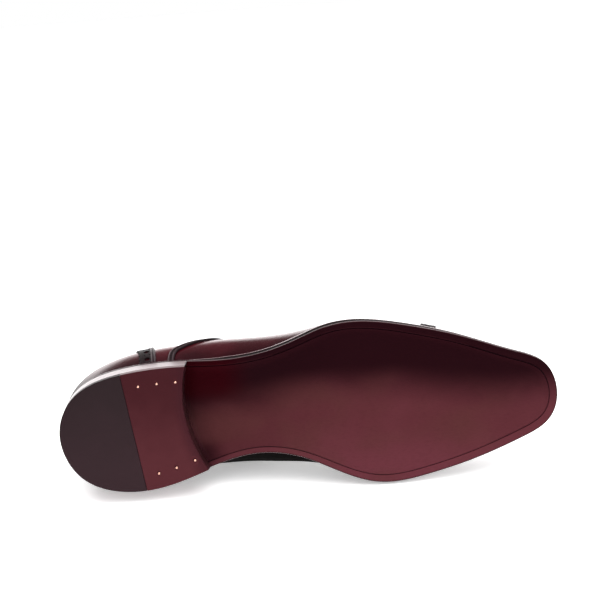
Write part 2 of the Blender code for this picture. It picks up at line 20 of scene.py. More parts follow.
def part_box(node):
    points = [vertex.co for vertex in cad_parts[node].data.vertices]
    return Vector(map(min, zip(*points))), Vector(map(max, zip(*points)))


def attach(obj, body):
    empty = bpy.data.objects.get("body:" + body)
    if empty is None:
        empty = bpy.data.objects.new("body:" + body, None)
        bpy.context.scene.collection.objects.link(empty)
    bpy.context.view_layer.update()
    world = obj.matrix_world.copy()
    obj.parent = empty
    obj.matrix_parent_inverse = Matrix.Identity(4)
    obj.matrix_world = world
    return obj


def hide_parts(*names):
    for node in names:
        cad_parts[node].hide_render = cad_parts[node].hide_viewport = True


bl_info = {
    "name": "Oxford Shoe",
    "version": (1, 0, 0),
    "blender": (4, 5, 0),
    "location": "View3D > Sidebar > Oxford",
    "description": "Makes the pieces of a leather oxford shoe over its model",
    "category": "Add Mesh",
}

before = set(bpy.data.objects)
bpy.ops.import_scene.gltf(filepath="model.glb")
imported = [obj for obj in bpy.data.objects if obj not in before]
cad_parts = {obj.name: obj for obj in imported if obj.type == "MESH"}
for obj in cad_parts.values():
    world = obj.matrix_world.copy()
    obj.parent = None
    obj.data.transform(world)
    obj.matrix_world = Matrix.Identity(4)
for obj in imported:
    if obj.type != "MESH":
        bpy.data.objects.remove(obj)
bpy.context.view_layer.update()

MM = 0.001

# ---------------------------------------------------------------- the shoe's own sizes, in mm

GAP = 0.3
OUTSOLE_THICK = 5.0
WELT_THICK = 2.6
WELT_STEP = 0.3
UPPER_WALL = 2.2
INSOLE_RISE = 1.4

HEEL_OUTER_CORNER = 81.3
HEEL_INNER_CORNER = 92.0
HEEL_SAG = 7.0
HEEL_TAPER = 1.3
HEEL_LEAN = 0.6
HEEL_HEIGHT = 24.0
TOP_PIECE_THICK = 6.0
LIFTS = 3
LIFT_THICK = 5.2
SPLIT_OUTER = 40.0
SPLIT_INNER = 52.0
NAILS_A_SIDE = 3
NAIL_FIRST = 10.0
NAIL_PITCH = 12.2
NAIL_INSET = 10.5
NAIL_RADIUS = 0.8
NAIL_HOLE = 1.0
NAIL_LENGTH = 3.0
NAIL_SUNK = 0.15
NAIL_HEAD = (0.85, 0.85, 0.42)
NAIL_HEAD_SUNK = 0.3

SOLE_RING = 9.0           # how far inside its edge the sole's flat faces start
EDGE_FINISH = 0.4         # how far in from the sole's edge its waxed finish reaches

TRIM_WIDTH = 4.0
TOE_BAND_WIDTH = 10.0
TOE_BAND_OUTER = 9.36
TOE_BAND_INNER = 9.23
TOE_BAND_RIDGE = 9.72
HEEL_BAND_WIDTH = 11.0
HEEL_BAND_TOP = 0.965
BAND_GRID = 0.33
BAND_EDGE = 0.18
TOOTH_STEPS = 6.0
BEAD_WIDTH = 0.45
BEAD_RISE = 0.55
HEEL_BEADS = (4.85, 3.2)
TRIM_BEADS = (-1.25, 1.25)
HOLE_PITCH = 9.6
HOLE_RADIUS = 1.9
HOLE_DEPTH = 2.6
PRICK_RADIUS = 0.6
PRICK_ASIDE = 1.6
TOE_BAND_STITCHES = (-3.3, 3.3)
HEEL_BAND_STITCHES = (-3.3, 2.4)

BACK_SEAM_WIDTH = 0.7
BACK_SEAM_DEPTH = 0.25
BACK_STITCHES = 1.5       # from the back seam to the rows of stitches beside it
SEAM_LIFT = 0.05

EYELETS = 6
EYELET_TOP_ROW = 5.22
EYELET_LOW_ROW = 6.9
EYELET_INSET = 8.0
EYELET_RADIUS = 2.2
LACE_RADIUS = 1.0
LACE_CLEAR = 0.55
LACE_ROOM = 3.2
LACE_BESIDE = 5.0
LACE_STEP = 1.1

TONGUE_THICK = 2.4
TONGUE_FRONT_ROW = 7.9
TONGUE_TOP_ROW = 5.1
TONGUE_WIDE = 19.0
TONGUE_NARROW = 8.0
TONGUE_WIDE_ROW = 6.2
TONGUE_RISE = 13.0
TONGUE_RISE_SHARE = 0.15
TONGUE_TAPER = 4.0
TONGUE_SEAM = 0.045       # inset of its stitches, as a share of its width
TONGUE_SEAM_START = 0.6
TONGUE_SEAM_TOP = 0.96

UPPER_THREAD = 0.5
WELT_THREAD = 0.75
WELT_SEAM_OUTER = 6.6     # row numbers where the welt's stitches start and end at the waist
WELT_SEAM_INNER = 7.0
WELT_GROOVE = 0.3

LIE_ROLL = math.radians(10.5)
LIE_PITCH = math.radians(-0.3)
CAMERA_AIM = (155.0, 0.0, 5.0)

# The two sides of the shoe, and the row of the last up which each heel band runs.
OUTER_SIDE, INNER_SIDE = -1.0, 1.0
SideRow = namedtuple("SideRow", "name side heel_band")
SIDES = [SideRow("outer", OUTER_SIDE, 2.41), SideRow("inner", INNER_SIDE, 2.3)]

# Height of the outsole's underside along the shoe: heel seat, waist, tread and toe spring.
BottomRow = namedtuple("BottomRow", "x underside")
BOTTOM = [
    BottomRow(-10, 25.6),
    BottomRow(40, 23.8),
    BottomRow(80, 20.8),
    BottomRow(110, 16.4),
    BottomRow(140, 9.6),
    BottomRow(170, 3.0),
    BottomRow(200, 0.0),
    BottomRow(230, 0.7),
    BottomRow(260, 3.6),
    BottomRow(290, 8.4),
    BottomRow(320, 15.6),
]

# One row for each section of the last, from the heel along one side to the toe.
#   sole_x, sole_y       the edge of the outsole
#   margin               how far the upper's lower edge lies inside the outsole's edge
#   top_x, top_y, top_z  where the section ends: topline, edge of the facing or ridge of the vamp
#   flare, rise          lean out in degrees, and strength, of the section as it leaves the sole
#   turn                 plan angle of the section at its top: 0 sideways, 90 forward, -90 back
#   roof, reach          fall in degrees, and strength, of the section as it leaves its top
LastRow = namedtuple(
    "LastRow", "name sole_x sole_y margin top_x top_y top_z flare rise turn roof reach"
)
OUTER = [
    LastRow("heel_back", -0.9, 6.5, 2.0, 6.5, 6.5, 94.0, 14, 30, -90, 80, 24),
    LastRow("heel_round", 9.8, -18.2, 2.0, 13.5, -8.0, 92.5, 18, 32, -45, 80, 24),
    LastRow("heel_side", 40.0, -30.4, 2.0, 37.0, -19.0, 85.5, 28, 36, -6, 78, 22),
    LastRow("ankle", 78.0, -33.0, 1.6, 67.0, -21.0, 83.0, 36, 38, 4, 74, 20),
    LastRow("collar_front", 104.0, -32.6, 1.2, 92.0, -16.0, 93.0, 43, 40, 10, 60, 20),
    LastRow("facing_top", 128.0, -35.7, 1.4, 107.0, -3.0, 106.0, 42, 38, 4, 42, 26),
    LastRow("facing_low", 150.0, -42.9, 2.4, 136.0, -3.0, 91.5, 30, 34, 0, 32, 26),
    LastRow("throat", 170.0, -50.4, 3.3, 163.0, -2.4, 76.0, 23, 29, 0, 18, 29),
    LastRow("ball", 190.0, -52.4, 3.7, 188.0, -0.6, 63.0, 25, 26, 0, 4, 32),
    LastRow("vamp", 221.0, -47.5, 3.7, 214.0, 0.0, 52.0, 34, 23, 0, 0, 30),
    LastRow("cap", 254.0, -38.2, 3.8, 240.0, 0.8, 44.0, 39, 20, 0, 0, 26),
    LastRow("toe_side", 286.0, -26.2, 4.5, 262.0, 1.6, 39.6, 24, 15, 14, 2, 20),
    LastRow("toe_corner", 305.4, -16.0, 5.0, 274.0, 2.0, 37.6, 7, 9, 52, 8, 19),
    LastRow("toe_tip", 311.3, 2.6, 5.2, 278.0, 2.3, 36.8, 7, 9, 90, 11, 19),
]
INNER = [
    OUTER[0],
    LastRow("heel_round", 11.0, 33.8, 2.0, 13.5, 21.5, 93.0, 2, 28, -45, 80, 24),
    LastRow("heel_side", 44.0, 45.4, 2.0, 37.0, 29.0, 87.5, -9, 30, -6, 78, 22),
    LastRow("ankle", 80.0, 39.0, 1.4, 67.0, 25.5, 86.0, 9, 32, 4, 74, 20),
    LastRow("collar_front", 104.0, 31.0, 1.2, 92.0, 18.5, 94.5, 28, 40, 10, 52, 25),
    LastRow("facing_top", 126.0, 27.4, 1.2, 107.0, 6.0, 106.0, 34, 46, 4, 32, 36),
    LastRow("facing_low", 150.0, 31.2, 1.6, 136.0, 3.0, 91.5, 38, 36, 0, 28, 30),
    LastRow("throat", 172.0, 40.8, 3.0, 163.0, 0.4, 76.0, 24, 27, 0, 18, 28),
    LastRow("ball", 194.0, 48.3, 4.0, 188.0, -0.6, 63.0, 12, 22, 0, 4, 29),
    LastRow("vamp", 226.0, 46.0, 4.5, 214.0, 0.0, 52.0, 7, 18, 0, 0, 26),
    LastRow("cap", 257.0, 38.4, 4.6, 240.0, 0.8, 44.0, 7, 14, 0, 0, 22),
    LastRow("toe_side", 288.0, 27.8, 4.8, 262.0, 1.6, 39.6, 7, 11, 14, 2, 19),
    LastRow("toe_corner", 304.8, 18.6, 5.0, 274.0, 2.0, 37.6, 7, 9, 52, 8, 19),
    OUTER[-1],
]
ROWS = len(OUTER) - 1
THROAT = 7
SLIT_END = 7.35           # row number where the two facings meet in the vamp

# Path of the trim that runs from the sole up the side and forward to the throat: row number, and
# how far up the section on the outer and the inner side, 0 at the sole and 1 at the top.
TrimRow = namedtuple("TrimRow", "row outer inner")
TRIM = [
    TrimRow(2.8, 0.0, 0.0),
    TrimRow(2.84, 0.09, 0.1),
    TrimRow(2.96, 0.165, 0.19),
    TrimRow(3.2, 0.235, 0.28),
    TrimRow(3.6, 0.33, 0.38),
    TrimRow(4.1, 0.435, 0.48),
    TrimRow(4.8, 0.55, 0.58),
    TrimRow(5.6, 0.67, 0.69),
    TrimRow(6.4, 0.765, 0.775),
    TrimRow(7.1, 0.85, 0.85),
    TrimRow(7.55, 0.93, 0.93),
    TrimRow(7.68, 0.985, 0.985),
]

# Channel of the sole stitching: how far inside the sole's edge it runs at each X.
ChannelRow = namedtuple("ChannelRow", "x inset")
CHANNEL = [ChannelRow(95, 3.7), ChannelRow(150, 3.9), ChannelRow(205, 4.7), ChannelRow(300, 5.3)]

# Creases of wear: soft troughs across the vamp, between raised edges, and at the ankle.
#   x, lean          where it crosses the ridge or topline, and how far it runs back as it falls
#   depth, width     of its trough
#   low, high        share of the upper's height that it spans
Crease = namedtuple("Crease", "x lean depth width low high")
CREASES = [
    Crease(196.0, 0.22, 0.32, 4.2, 0.45, 1.2),
    Crease(206.0, 0.12, 0.26, 3.4, 0.30, 1.2),
    Crease(215.0, 0.02, 0.18, 3.2, 0.35, 1.2),
    Crease(98.0, -0.55, 0.30, 6.0, 0.35, 0.80),
]

# Rows of stitches on each side of the upper: row numbers, and distance below its edge.
SeamRow = namedtuple("SeamRow", "start end inset")
TOPLINE_SEAM = SeamRow(0.0, 5.0, 2.2)
FACING_SEAM = SeamRow(5.0, SLIT_END - 0.1, 2.4)
DOUBLE_SEAM = [SeamRow(5.1, SLIT_END + 0.05, 14.5), SeamRow(5.1, SLIT_END + 0.05, 15.9)]

# ---------------------------------------------------------------- curves and surfaces of the last

class Curve:
    """Cubic spline through rows of numbers, closed on itself or with free ends."""

    def __init__(self, places, rows, closed):
        self.places = [float(place) for place in places]
        self.rows = np.array(rows, float)
        self.closed = closed
        steps = np.diff(places)
        rise = np.diff(self.rows, axis=0)
        count = len(self.rows) - 1
        slopes = rise / steps[:, None]
        system = np.eye(count + 1)
        right = np.zeros_like(self.rows)
        for i in range(0 if closed else 1, count):
            system[i, i] = 2.0 * (steps[i - 1] + steps[i])
            system[i, i - 1 if i else count - 1] = steps[i - 1]
            system[i, i + 1] = steps[i]
            right[i] = 6.0 * (slopes[i] - slopes[i - 1])
        if closed:
            system[count, 0] = -1.0
        self.bends = np.linalg.solve(system, right)

    def at(self, place):
        if self.closed:
            place = place % self.places[-1]
        i = min(max(bisect.bisect_right(self.places, place) - 1, 0), len(self.places) - 2)
        step = self.places[i + 1] - self.places[i]
        b = (place - self.places[i]) / step
        a = 1.0 - b
        curve = (a ** 3 - a) * self.bends[i] + (b ** 3 - b) * self.bends[i + 1]
        return a * self.rows[i] + b * self.rows[i + 1] + curve * step * step / 6.0


def column_values(row, side):
    """The numbers of a last row, with its turn as a direction that the spline can carry round."""
    turn = math.radians(row.turn)
    return [
        row.sole_x, row.sole_y, row.margin, row.top_x, row.top_y, row.top_z,
        row.flare, row.rise, row.roof, row.reach, math.sin(turn), side * math.cos(turn),
    ]


def row_places():
    """Distance of each row round the sole, the same for both sides."""
    places = [0.0]
    for i in range(ROWS):
        steps = [
            math.dist((a[i].sole_x, a[i].sole_y), (a[i + 1].sole_x, a[i + 1].sole_y))
            for a in (OUTER, INNER)
        ]
        places.append(places[-1] + sum(steps) / 2.0)
    return places


PLACES = row_places()
HALF = PLACES[-1]
LAST = Curve(
    PLACES + [2.0 * HALF - place for place in reversed(PLACES[:-1])],
    [column_values(row, -1.0) for row in OUTER]
    + [column_values(row, 1.0) for row in reversed(INNER[:-1])],
    closed=True,
)


@functools.lru_cache(maxsize=None)
def last_at(place):
    return LAST.at(place)


UNDERSIDE = Curve([row.x for row in BOTTOM], [[row.underside] for row in BOTTOM], closed=False)


def underside(x):
    return UNDERSIDE.at(x)[0]


def welt_top(x):
    return underside(x) + OUTSOLE_THICK + GAP + WELT_THICK


def place_of(row, side):
    """Place on the last's loop of a row number on the outer (-1) or inner (+1) side."""
    place = float(np.interp(row, range(ROWS + 1), PLACES))
    return place if side < 0 else 2.0 * HALF - place


@functools.lru_cache(maxsize=None)
def edge_direction(place):
    """Plan direction out of the outsole's edge."""
    ahead = last_at(place + 0.5)[:2] - last_at(place - 0.5)[:2]
    return np.array([ahead[1], -ahead[0]]) / math.hypot(*ahead)


def sole_edge(place, inset=0.0):
    """Plan point at a distance inside the outsole's edge, and the plan direction out of it."""
    out = edge_direction(place)
    return last_at(place)[:2] - inset * out, out


def cross(a, b):
    return np.array([
        a[1] * b[2] - a[2] * b[1], a[2] * b[0] - a[0] * b[2], a[0] * b[1] - a[1] * b[0],
    ])


@functools.lru_cache(maxsize=None)
def section(place):
    """The four control points of the upper's outer face across the last at this place."""
    values = last_at(place)
    margin = values[2]
    flare = math.radians(values[6])
    roof = math.radians(values[8])
    foot, out = sole_edge(place, margin)
    side = values[10:12] / np.hypot(*values[10:12])
    start = np.array([foot[0], foot[1], welt_top(foot[0]) + GAP])
    lean = np.array([out[0] * math.sin(flare), out[1] * math.sin(flare), math.cos(flare)])
    fall = np.array([side[0] * math.cos(roof), side[1] * math.cos(roof), -math.sin(roof)])
    top = values[3:6]
    return start, start + values[7] * lean, top + values[9] * fall, top


def bezier(a, b, c, d, t):
    s = 1.0 - t
    return s ** 3 * a + 3 * s * s * t * b + 3 * s * t * t * c + t ** 3 * d


def on_last(place, height):
    """Point on the upper's outer face, at a share of its height from the sole to its top."""
    return bezier(*section(place), height)


@functools.lru_cache(maxsize=None)
def out_of_last(place, height):
    """Direction out of the upper's outer face."""
    near = min(max(height, 0.01), 0.985)
    along = on_last(place + 0.5, near) - on_last(place - 0.5, near)
    up = on_last(place, near + 0.01) - on_last(place, near - 0.01)
    out = cross(along, up)
    return out / math.hypot(*out)


def upper_face(place, height, lift):
    """Point at a distance out of the upper's outer face."""
    return on_last(place, height) + lift * out_of_last(place, height)


def blend(a, b, t):
    return a + (b - a) * t


def share_between(value, start, end):
    """How far a value is on its way from a start to an end, from 0 to 1."""
    return min(max((value - start) / (end - start), 0.0), 1.0)


def lay_down():
    """From the upright shoe in millimetres to the floor's frame in metres, by its CAD outsole."""
    turn = Euler((-math.pi / 2.0 - LIE_ROLL, -LIE_PITCH, 0.0)).to_matrix().to_4x4()
    turn = turn @ Matrix.Scale(MM, 4)
    rim = []
    for place in np.arange(0.0, 2.0 * HALF, 0.5):
        x, y = sole_edge(place)[0]
        rim.append(turn @ Vector((x, y, underside(x))))
        rim.append(turn @ Vector((x, y, underside(x) + OUTSOLE_THICK)))
    low = [min(point[axis] for point in rim) for axis in range(3)]
    return Matrix.Translation(Vector(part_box("outsole")[0]) - Vector(low)) @ turn


LAY = lay_down()


# ---------------------------------------------------------------- making pieces

def float_layer(mesh, name):
    return mesh.verts.layers.float.get(name) or mesh.verts.layers.float.new(name)


def mapped_grid(mesh, along, across, shape, size=(1.0, 1.0), **marks):
    """Add a grid with its points at shape(s, t), s and t from 0 to 1, and its strip UV in mm.

    Each mark is a number kept on the points, given as a function of s and t.
    """
    layers = {name: float_layer(mesh, name) for name in ("s", "t", *marks)}
    strip = mesh.loops.layers.uv.get("strip") or mesh.loops.layers.uv.new("strip")
    made = bmesh.ops.create_grid(mesh, x_segments=along, y_segments=across, size=0.5)["verts"]
    for vert in made:
        s = min(max(vert.co.x + 0.5, 0.0), 1.0)
        t = min(max(vert.co.y + 0.5, 0.0), 1.0)
        vert[layers["s"]] = s
        vert[layers["t"]] = t
        vert.co = Vector(shape(s, t))
        for name, mark in marks.items():
            vert[layers[name]] = mark(s, t)
    for face in {face for vert in made for face in vert.link_faces}:
        for corner in face.loops:
            place = (corner.vert[layers["s"]], corner.vert[layers["t"]])
            corner[strip].uv = (place[0] * size[0], place[1] * size[1])
    return made


def close_seams(mesh):
    bmesh.ops.remove_doubles(mesh, verts=mesh.verts, dist=0.004)


def block(shape, along, across, size=(1.0, 1.0), **marks):
    """Closed solid between two skins, shape(s, t, skin); the faces of the second have slot 1."""
    mesh = bmesh.new()
    mapped_grid(mesh, along, across, lambda s, t: shape(s, t, 0.0), size, **marks)
    close_seams(mesh)
    grown = bmesh.ops.extrude_face_region(mesh, geom=mesh.faces[:], use_keep_orig=True)
    s_layer, t_layer = float_layer(mesh, "s"), float_layer(mesh, "t")
    for item in grown["geom"]:
        if isinstance(item, bmesh.types.BMVert):
            item.co = Vector(shape(item[s_layer], item[t_layer], 1.0))
        elif isinstance(item, bmesh.types.BMFace):
            item.material_index = 1
    return mesh


def finish_piece(name, mesh, finishes, nodes=(), sharp=40.0):
    """Lay a mesh in upright millimetres down with the shoe, and hand it to the frame.

    Its finishes are given by their short names, one for each material slot.
    """
    bmesh.ops.recalc_face_normals(mesh, faces=mesh.faces)
    upright = mesh.verts.layers.float_vector.new("upright")
    for vert in mesh.verts:
        vert[upright] = vert.co
    mesh.transform(LAY)
    data = bpy.data.meshes.new(name)
    mesh.to_mesh(data)
    mesh.free()
    data.shade_smooth()
    data.set_sharp_from_angle(angle=math.radians(sharp))
    for finish in finishes:
        data.materials.append(finish_of(finish))
    if len(finishes) == 1:
        data.polygons.foreach_set("material_index", [0] * len(data.polygons))
    piece = bpy.data.objects.new(name, data)
    bpy.context.collection.objects.link(piece)
    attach(piece, "root")
    if nodes:
        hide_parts(*nodes)
    return piece


def settle(piece):
    """Make a piece's modifiers part of its mesh."""
    made = bpy.data.meshes.new_from_object(piece.evaluated_get(
        bpy.context.evaluated_depsgraph_get()))
    made.name = piece.name
    piece.modifiers.clear()
    piece.data = made


def round_edges(piece, width, segments=2, angle=40.0):
    """Round a piece's sharp edges by a width in millimetres."""
    rounding = piece.modifiers.new("round edges", "BEVEL")
    rounding.width = width * MM
    rounding.segments = segments
    rounding.limit_method = "ANGLE"
    rounding.angle_limit = math.radians(angle)
    rounding.use_clamp_overlap = False
    rounding.harden_normals = False
    rounding.miter_outer = "MITER_ARC"
    settle(piece)


def punch(piece, holes, depth, segments=20):
    """Cut round holes through a piece: each has a middle, a direction and a radius in mm."""
    cutter = bmesh.new()
    for middle, direction, radius in holes:
        turn = Vector((0, 0, 1)).rotation_difference(Vector(direction)).to_matrix().to_4x4()
        bmesh.ops.create_cone(
            cutter, cap_ends=True, segments=segments, radius1=radius, radius2=radius,
            depth=depth, matrix=Matrix.Translation(Vector(middle)) @ turn,
        )
    cutter.transform(LAY)
    data = bpy.data.meshes.new("punch")
    cutter.to_mesh(data)
    cutter.free()
    tool = bpy.data.objects.new("punch", data)
    bpy.context.collection.objects.link(tool)
    cut = piece.modifiers.new("holes", "BOOLEAN")
    cut.operation = "DIFFERENCE"
    cut.solver = "MANIFOLD"
    cut.object = tool
    settle(piece)
    bpy.data.objects.remove(tool, do_unlink=True)
    bpy.data.meshes.remove(data)


def walk(path, pitch):
    """Spots at a pitch along a path of (point, out) samples: point, direction and out."""
    points = np.array([point for point, out in path])
    outs = np.array([out for point, out in path])
    lengths = np.concatenate([[0.0], np.cumsum(np.linalg.norm(np.diff(points, axis=0), axis=1))])
    count = max(2, round(lengths[-1] / pitch))
    spots = []
    for at in (np.arange(count) + 0.5) * lengths[-1] / count:
        near = [np.interp(at + step, lengths, points[:, axis])
                for step in (-0.3, 0.3) for axis in range(3)]
        back, ahead = np.array(near[:3]), np.array(near[3:])
        out = np.array([np.interp(at, lengths, outs[:, axis]) for axis in range(3)])
        spots.append(((back + ahead) / 2.0, ahead - back, out))
    return spots


def sew(name, paths, finish, pitch, thick):
    """One mesh of stitches along several paths, each stitch a small bead of thread."""
    bead = bmesh.new()
    bmesh.ops.create_uvsphere(bead, u_segments=6, v_segments=5, radius=1.0)
    stitch = bpy.data.meshes.new("stitch")
    mesh = bmesh.new()
    for path in paths:
        for point, ahead, out in walk(path, pitch):
            along = Vector(ahead).normalized()
            across = Vector(out).cross(along).normalized()
            turn = Matrix((along, across, along.cross(across))).transposed().to_4x4()
            size = Matrix.Diagonal((0.42 * pitch, 0.5 * thick, 0.36 * thick, 1.0))
            bead.to_mesh(stitch)
            stitch.transform(Matrix.Translation(Vector(point)) @ turn @ size)
            mesh.from_mesh(stitch)
    bead.free()
    bpy.data.meshes.remove(stitch)
    finish_piece(name, mesh, [finish], sharp=180.0)


# ---------------------------------------------------------------- finishes

def add_node(tree, kind, inputs, **settings):
    """Add a node; each input, by its name or number, is set to a value or linked to a socket."""
    made = tree.nodes.new(kind)
    for key, value in settings.items():
        setattr(made, key, value)
    for key, value in inputs.items():
        if isinstance(value, bpy.types.NodeSocket):
            tree.links.new(value, made.inputs[key])
        else:
            made.inputs[key].default_value = value
    return made


def with_alpha(value):
    """A colour as a socket takes it; a number or a socket stays as it is."""
    return (*value, 1.0) if isinstance(value, (tuple, Color)) else value


class Recipe:
    """A material, built up node by node; lengths in it are the shoe's own millimetres."""

    def __init__(self, name):
        self.finish = bpy.data.materials.new(name)
        self.finish.use_nodes = True
        self.tree = self.finish.node_tree
        self.shader = self.tree.nodes["Principled BSDF"]

    def node(self, kind, inputs, **settings):
        return add_node(self.tree, kind, inputs, **settings)

    def upright(self):
        """The upright shoe's coordinates."""
        return self.node("ShaderNodeAttribute", {}, attribute_name="upright").outputs["Vector"]

    def mark(self, name):
        return self.node("ShaderNodeAttribute", {}, attribute_name=name).outputs["Fac"]

    def strip(self):
        return self.node("ShaderNodeUVMap", {}, uv_map="strip").outputs["UV"]

    def parts(self, vector):
        return self.node("ShaderNodeSeparateXYZ", {0: vector}).outputs

    def stretched(self, vector, scale):
        return self.node("ShaderNodeMapping", {"Vector": vector, "Scale": scale}).outputs[0]

    def noise(self, vector, scale, detail=3.0, roughness=0.5):
        inputs = {"Vector": vector, "Scale": scale, "Detail": detail, "Roughness": roughness}
        return self.node("ShaderNodeTexNoise", inputs).outputs["Fac"]

    def cells(self, vector, scale):
        made = self.node("ShaderNodeTexVoronoi", {"Vector": vector, "Scale": scale})
        return made.outputs["Distance"]

    def sums(self, how, first, second=0.0, third=0.0):
        inputs = {0: first, 1: second, 2: third}
        return self.node("ShaderNodeMath", inputs, operation=how).outputs[0]

    def between(self, value, low, high, out_low=0.0, out_high=1.0):
        """A value's smooth way from low to high, as a number from out_low to out_high."""
        inputs = {0: value, 1: low, 2: high, 3: out_low, 4: out_high}
        made = self.node("ShaderNodeMapRange", inputs, interpolation_type="SMOOTHSTEP")
        return made.outputs[0]

    def blend(self, share, first, second):
        """A colour on its way from a first to a second."""
        inputs = {0: share, 6: with_alpha(first), 7: with_alpha(second)}
        return self.node("ShaderNodeMix", inputs, data_type="RGBA").outputs[2]

    def bump(self, height, depth, under=None):
        """Relief of a depth in millimetres where the height runs from 0 to 1."""
        inputs = {"Height": height, "Distance": depth * MM, "Strength": 1.0}
        if under:
            inputs["Normal"] = under
        return self.node("ShaderNodeBump", inputs).outputs[0]

    def finished(self, colour, roughness, normal=None, **constants):
        """Join the shader's colour, roughness and normal, and set its constant numbers."""
        values = {"Base Color": colour, "Roughness": roughness, "Normal": normal, **constants}
        for key, value in values.items():
            socket = self.shader.inputs[key.replace("_", " ")]
            if isinstance(value, bpy.types.NodeSocket):
                self.tree.links.new(value, socket)
            elif value is not None:
                socket.default_value = with_alpha(value)
        return self.finish


# Where the finishes change: a start and an end along X, across Y or up Z, or along a mark, and the
# two shares or shifts that it takes there.
Fade = namedtuple("Fade", "start end first last", defaults=(0.0, 1.0))

SOLE_MIDDLE = 5.0
SOLE_TOE_SHIFT = Fade(200.0, 290.0, 0.0, 12.0)
SOLE_WAIST_SHIFT = Fade(170.0, 110.0, 0.0, 9.0)
SOLE_OUTER_SIDE = Fade(-29.0, 1.0)
SOLE_INNER_SIDE = Fade(2.0, 40.0, 0.0, 0.8)
# Painted shade over the sole's waist, darkest by the heel.
SOLE_WAIST_SHADE = Fade(100.0, 185.0, 0.2, 0.0)
# Painted shade, a deep wine red, on the outer side of the waist by the heel.
SOLE_WINE_SHADE_ALONG = Fade(100.0, 124.0, 1.0, 0.0)
SOLE_WINE_SHADE_ACROSS = Fade(-13.0, -25.0, 0.0, 0.9)
SOLE_STRIP = Fade(-0.7, -0.2, 0.35, 0.0)
SOLE_GROOVE = Fade(0.1, 0.6, 0.5, 0.0)
SOLE_WAX = Fade(0.35, 0.95, 0.85, 0.0)

# Painted shade that the heel's front throws on the sole: where that front stands, and how it bows.
HEEL_SHADE = Fade(79.0, 99.0, 0.85, 0.0)
HEEL_SHADE_MIDDLE = 1.5
HEEL_SHADE_BOW = 0.0059
HEEL_SHADE_SLANT = 0.155

# Painted shade low by the sole and on the inner side, which lies towards the floor; the calf is
# also darker towards the toe and the heel.
UPPER_FOOT_SHADE = Fade(0.12, 0.5, 1.0, 0.0)
UPPER_TOE = Fade(196.0, 262.0)
UPPER_HEEL = Fade(18.0, 52.0, 1.0, 0.0)
UPPER_INNER_SHADE = Fade(8.0, 30.0)
# Painted shade, black, matt and without shine: low on the arch and at the heel's back.
ARCH_BACK = Fade(50.0, 90.0)
ARCH_FRONT = Fade(205.0, 165.0)
ARCH_SIDE = Fade(3.0, 12.0)
ARCH_HEIGHT = Fade(0.6, 0.32)
HEEL_BACK = Fade(36.0, 0.0, 0.0, 0.5)


def sole_leather(colours):
    """Burnished sole: black-red on the outer side, paler to the inner side and along the edge."""
    recipe = Recipe("sole leather")
    upright = recipe.upright()
    x, y, _ = recipe.parts(upright)
    drift = recipe.noise(recipe.stretched(upright, (0.5, 1.0, 1.0)), 0.02, 1.5)
    across = recipe.sums("MULTIPLY_ADD", drift, 6.0, recipe.sums("SUBTRACT", y, SOLE_MIDDLE))
    for shift in (SOLE_TOE_SHIFT, SOLE_WAIST_SHIFT):
        across = recipe.sums("SUBTRACT", across, recipe.between(x, *shift))
    share = recipe.between(across, *SOLE_OUTER_SIDE)
    colour = recipe.blend(share, colours.sole_dark, colours.sole)
    colour = recipe.blend(recipe.between(across, *SOLE_INNER_SIDE), colour, colours.sole_pale)
    # Painted shade thrown by the heel's front, darkest by the breast.
    aside = recipe.sums("SUBTRACT", y, HEEL_SHADE_MIDDLE)
    square = recipe.sums("MULTIPLY", aside, aside)
    from_heel = recipe.sums("MULTIPLY_ADD", square, -HEEL_SHADE_BOW, x)
    from_heel = recipe.sums("MULTIPLY_ADD", y, -HEEL_SHADE_SLANT, from_heel)
    colour = recipe.blend(recipe.between(from_heel, *HEEL_SHADE), colour, colours.sole_dark)
    # Painted shade over the waist, darkest by the heel.
    colour = recipe.blend(recipe.between(x, *SOLE_WAIST_SHADE), colour, colours.sole_dark)
    # Painted shade in deep wine red on the outer side of the waist by the heel.
    waist = recipe.sums("MULTIPLY", recipe.between(x, *SOLE_WINE_SHADE_ALONG),
                        recipe.between(across, *SOLE_WINE_SHADE_ACROSS))
    colour = recipe.blend(waist, colour, colours.sole_wine_shade)
    tan = recipe.noise(recipe.stretched(upright, (0.6, 1.0, 1.0)), 0.035, 2.0)
    tan = recipe.sums("MULTIPLY", recipe.between(tan, 0.42, 0.7, 0.0, 0.5), share)
    colour = recipe.blend(tan, colour, colours.sole_brown)
    fibres = recipe.noise(recipe.stretched(upright, (0.3, 1.0, 1.0)), 1.2, 4.0, 0.6)
    colour = recipe.blend(recipe.between(fibres, 0.4, 0.75, 0.0, 0.14), colour, colours.sole_dark)
    channel = recipe.mark("channel")
    rubbed = recipe.between(recipe.noise(upright, 0.04, 3.0, 0.5), 0.4, 0.8, 0.0, 0.25)
    pale = recipe.sums("MAXIMUM", rubbed, recipe.between(channel, *SOLE_STRIP))
    colour = recipe.blend(recipe.sums("MULTIPLY", pale, share), colour, colours.sole_pale)
    groove = recipe.between(recipe.sums("ABSOLUTE", channel), *SOLE_GROOVE)
    colour = recipe.blend(groove, colour, colours.sole_dark)
    wax = recipe.between(recipe.mark("edge"), *SOLE_WAX)
    colour = recipe.blend(wax, colour, colours.black)
    return recipe.finished(colour, 0.3, recipe.bump(fibres, 0.02), Specular_IOR_Level=0.14,
                           Specular_Tint=colours.burnish)


def waxed_edge(colours):
    """The sole's trimmed edge: a polished lower arris below a dull dark wall."""
    recipe = Recipe("waxed edge")
    arris = recipe.between(recipe.mark("t"), 0.35, 0.4)
    colour = recipe.blend(arris, colours.black, colours.edge)
    dull = recipe.between(arris, 0.0, 1.0, 0.85, 0.2)
    gloss = recipe.between(arris, 0.0, 1.0, 0.0, 0.4)
    return recipe.finished(colour, dull, Coat_Weight=gloss, Coat_Roughness=0.1,
                           Specular_IOR_Level=0.4, Specular_Tint=colours.edge_shine)


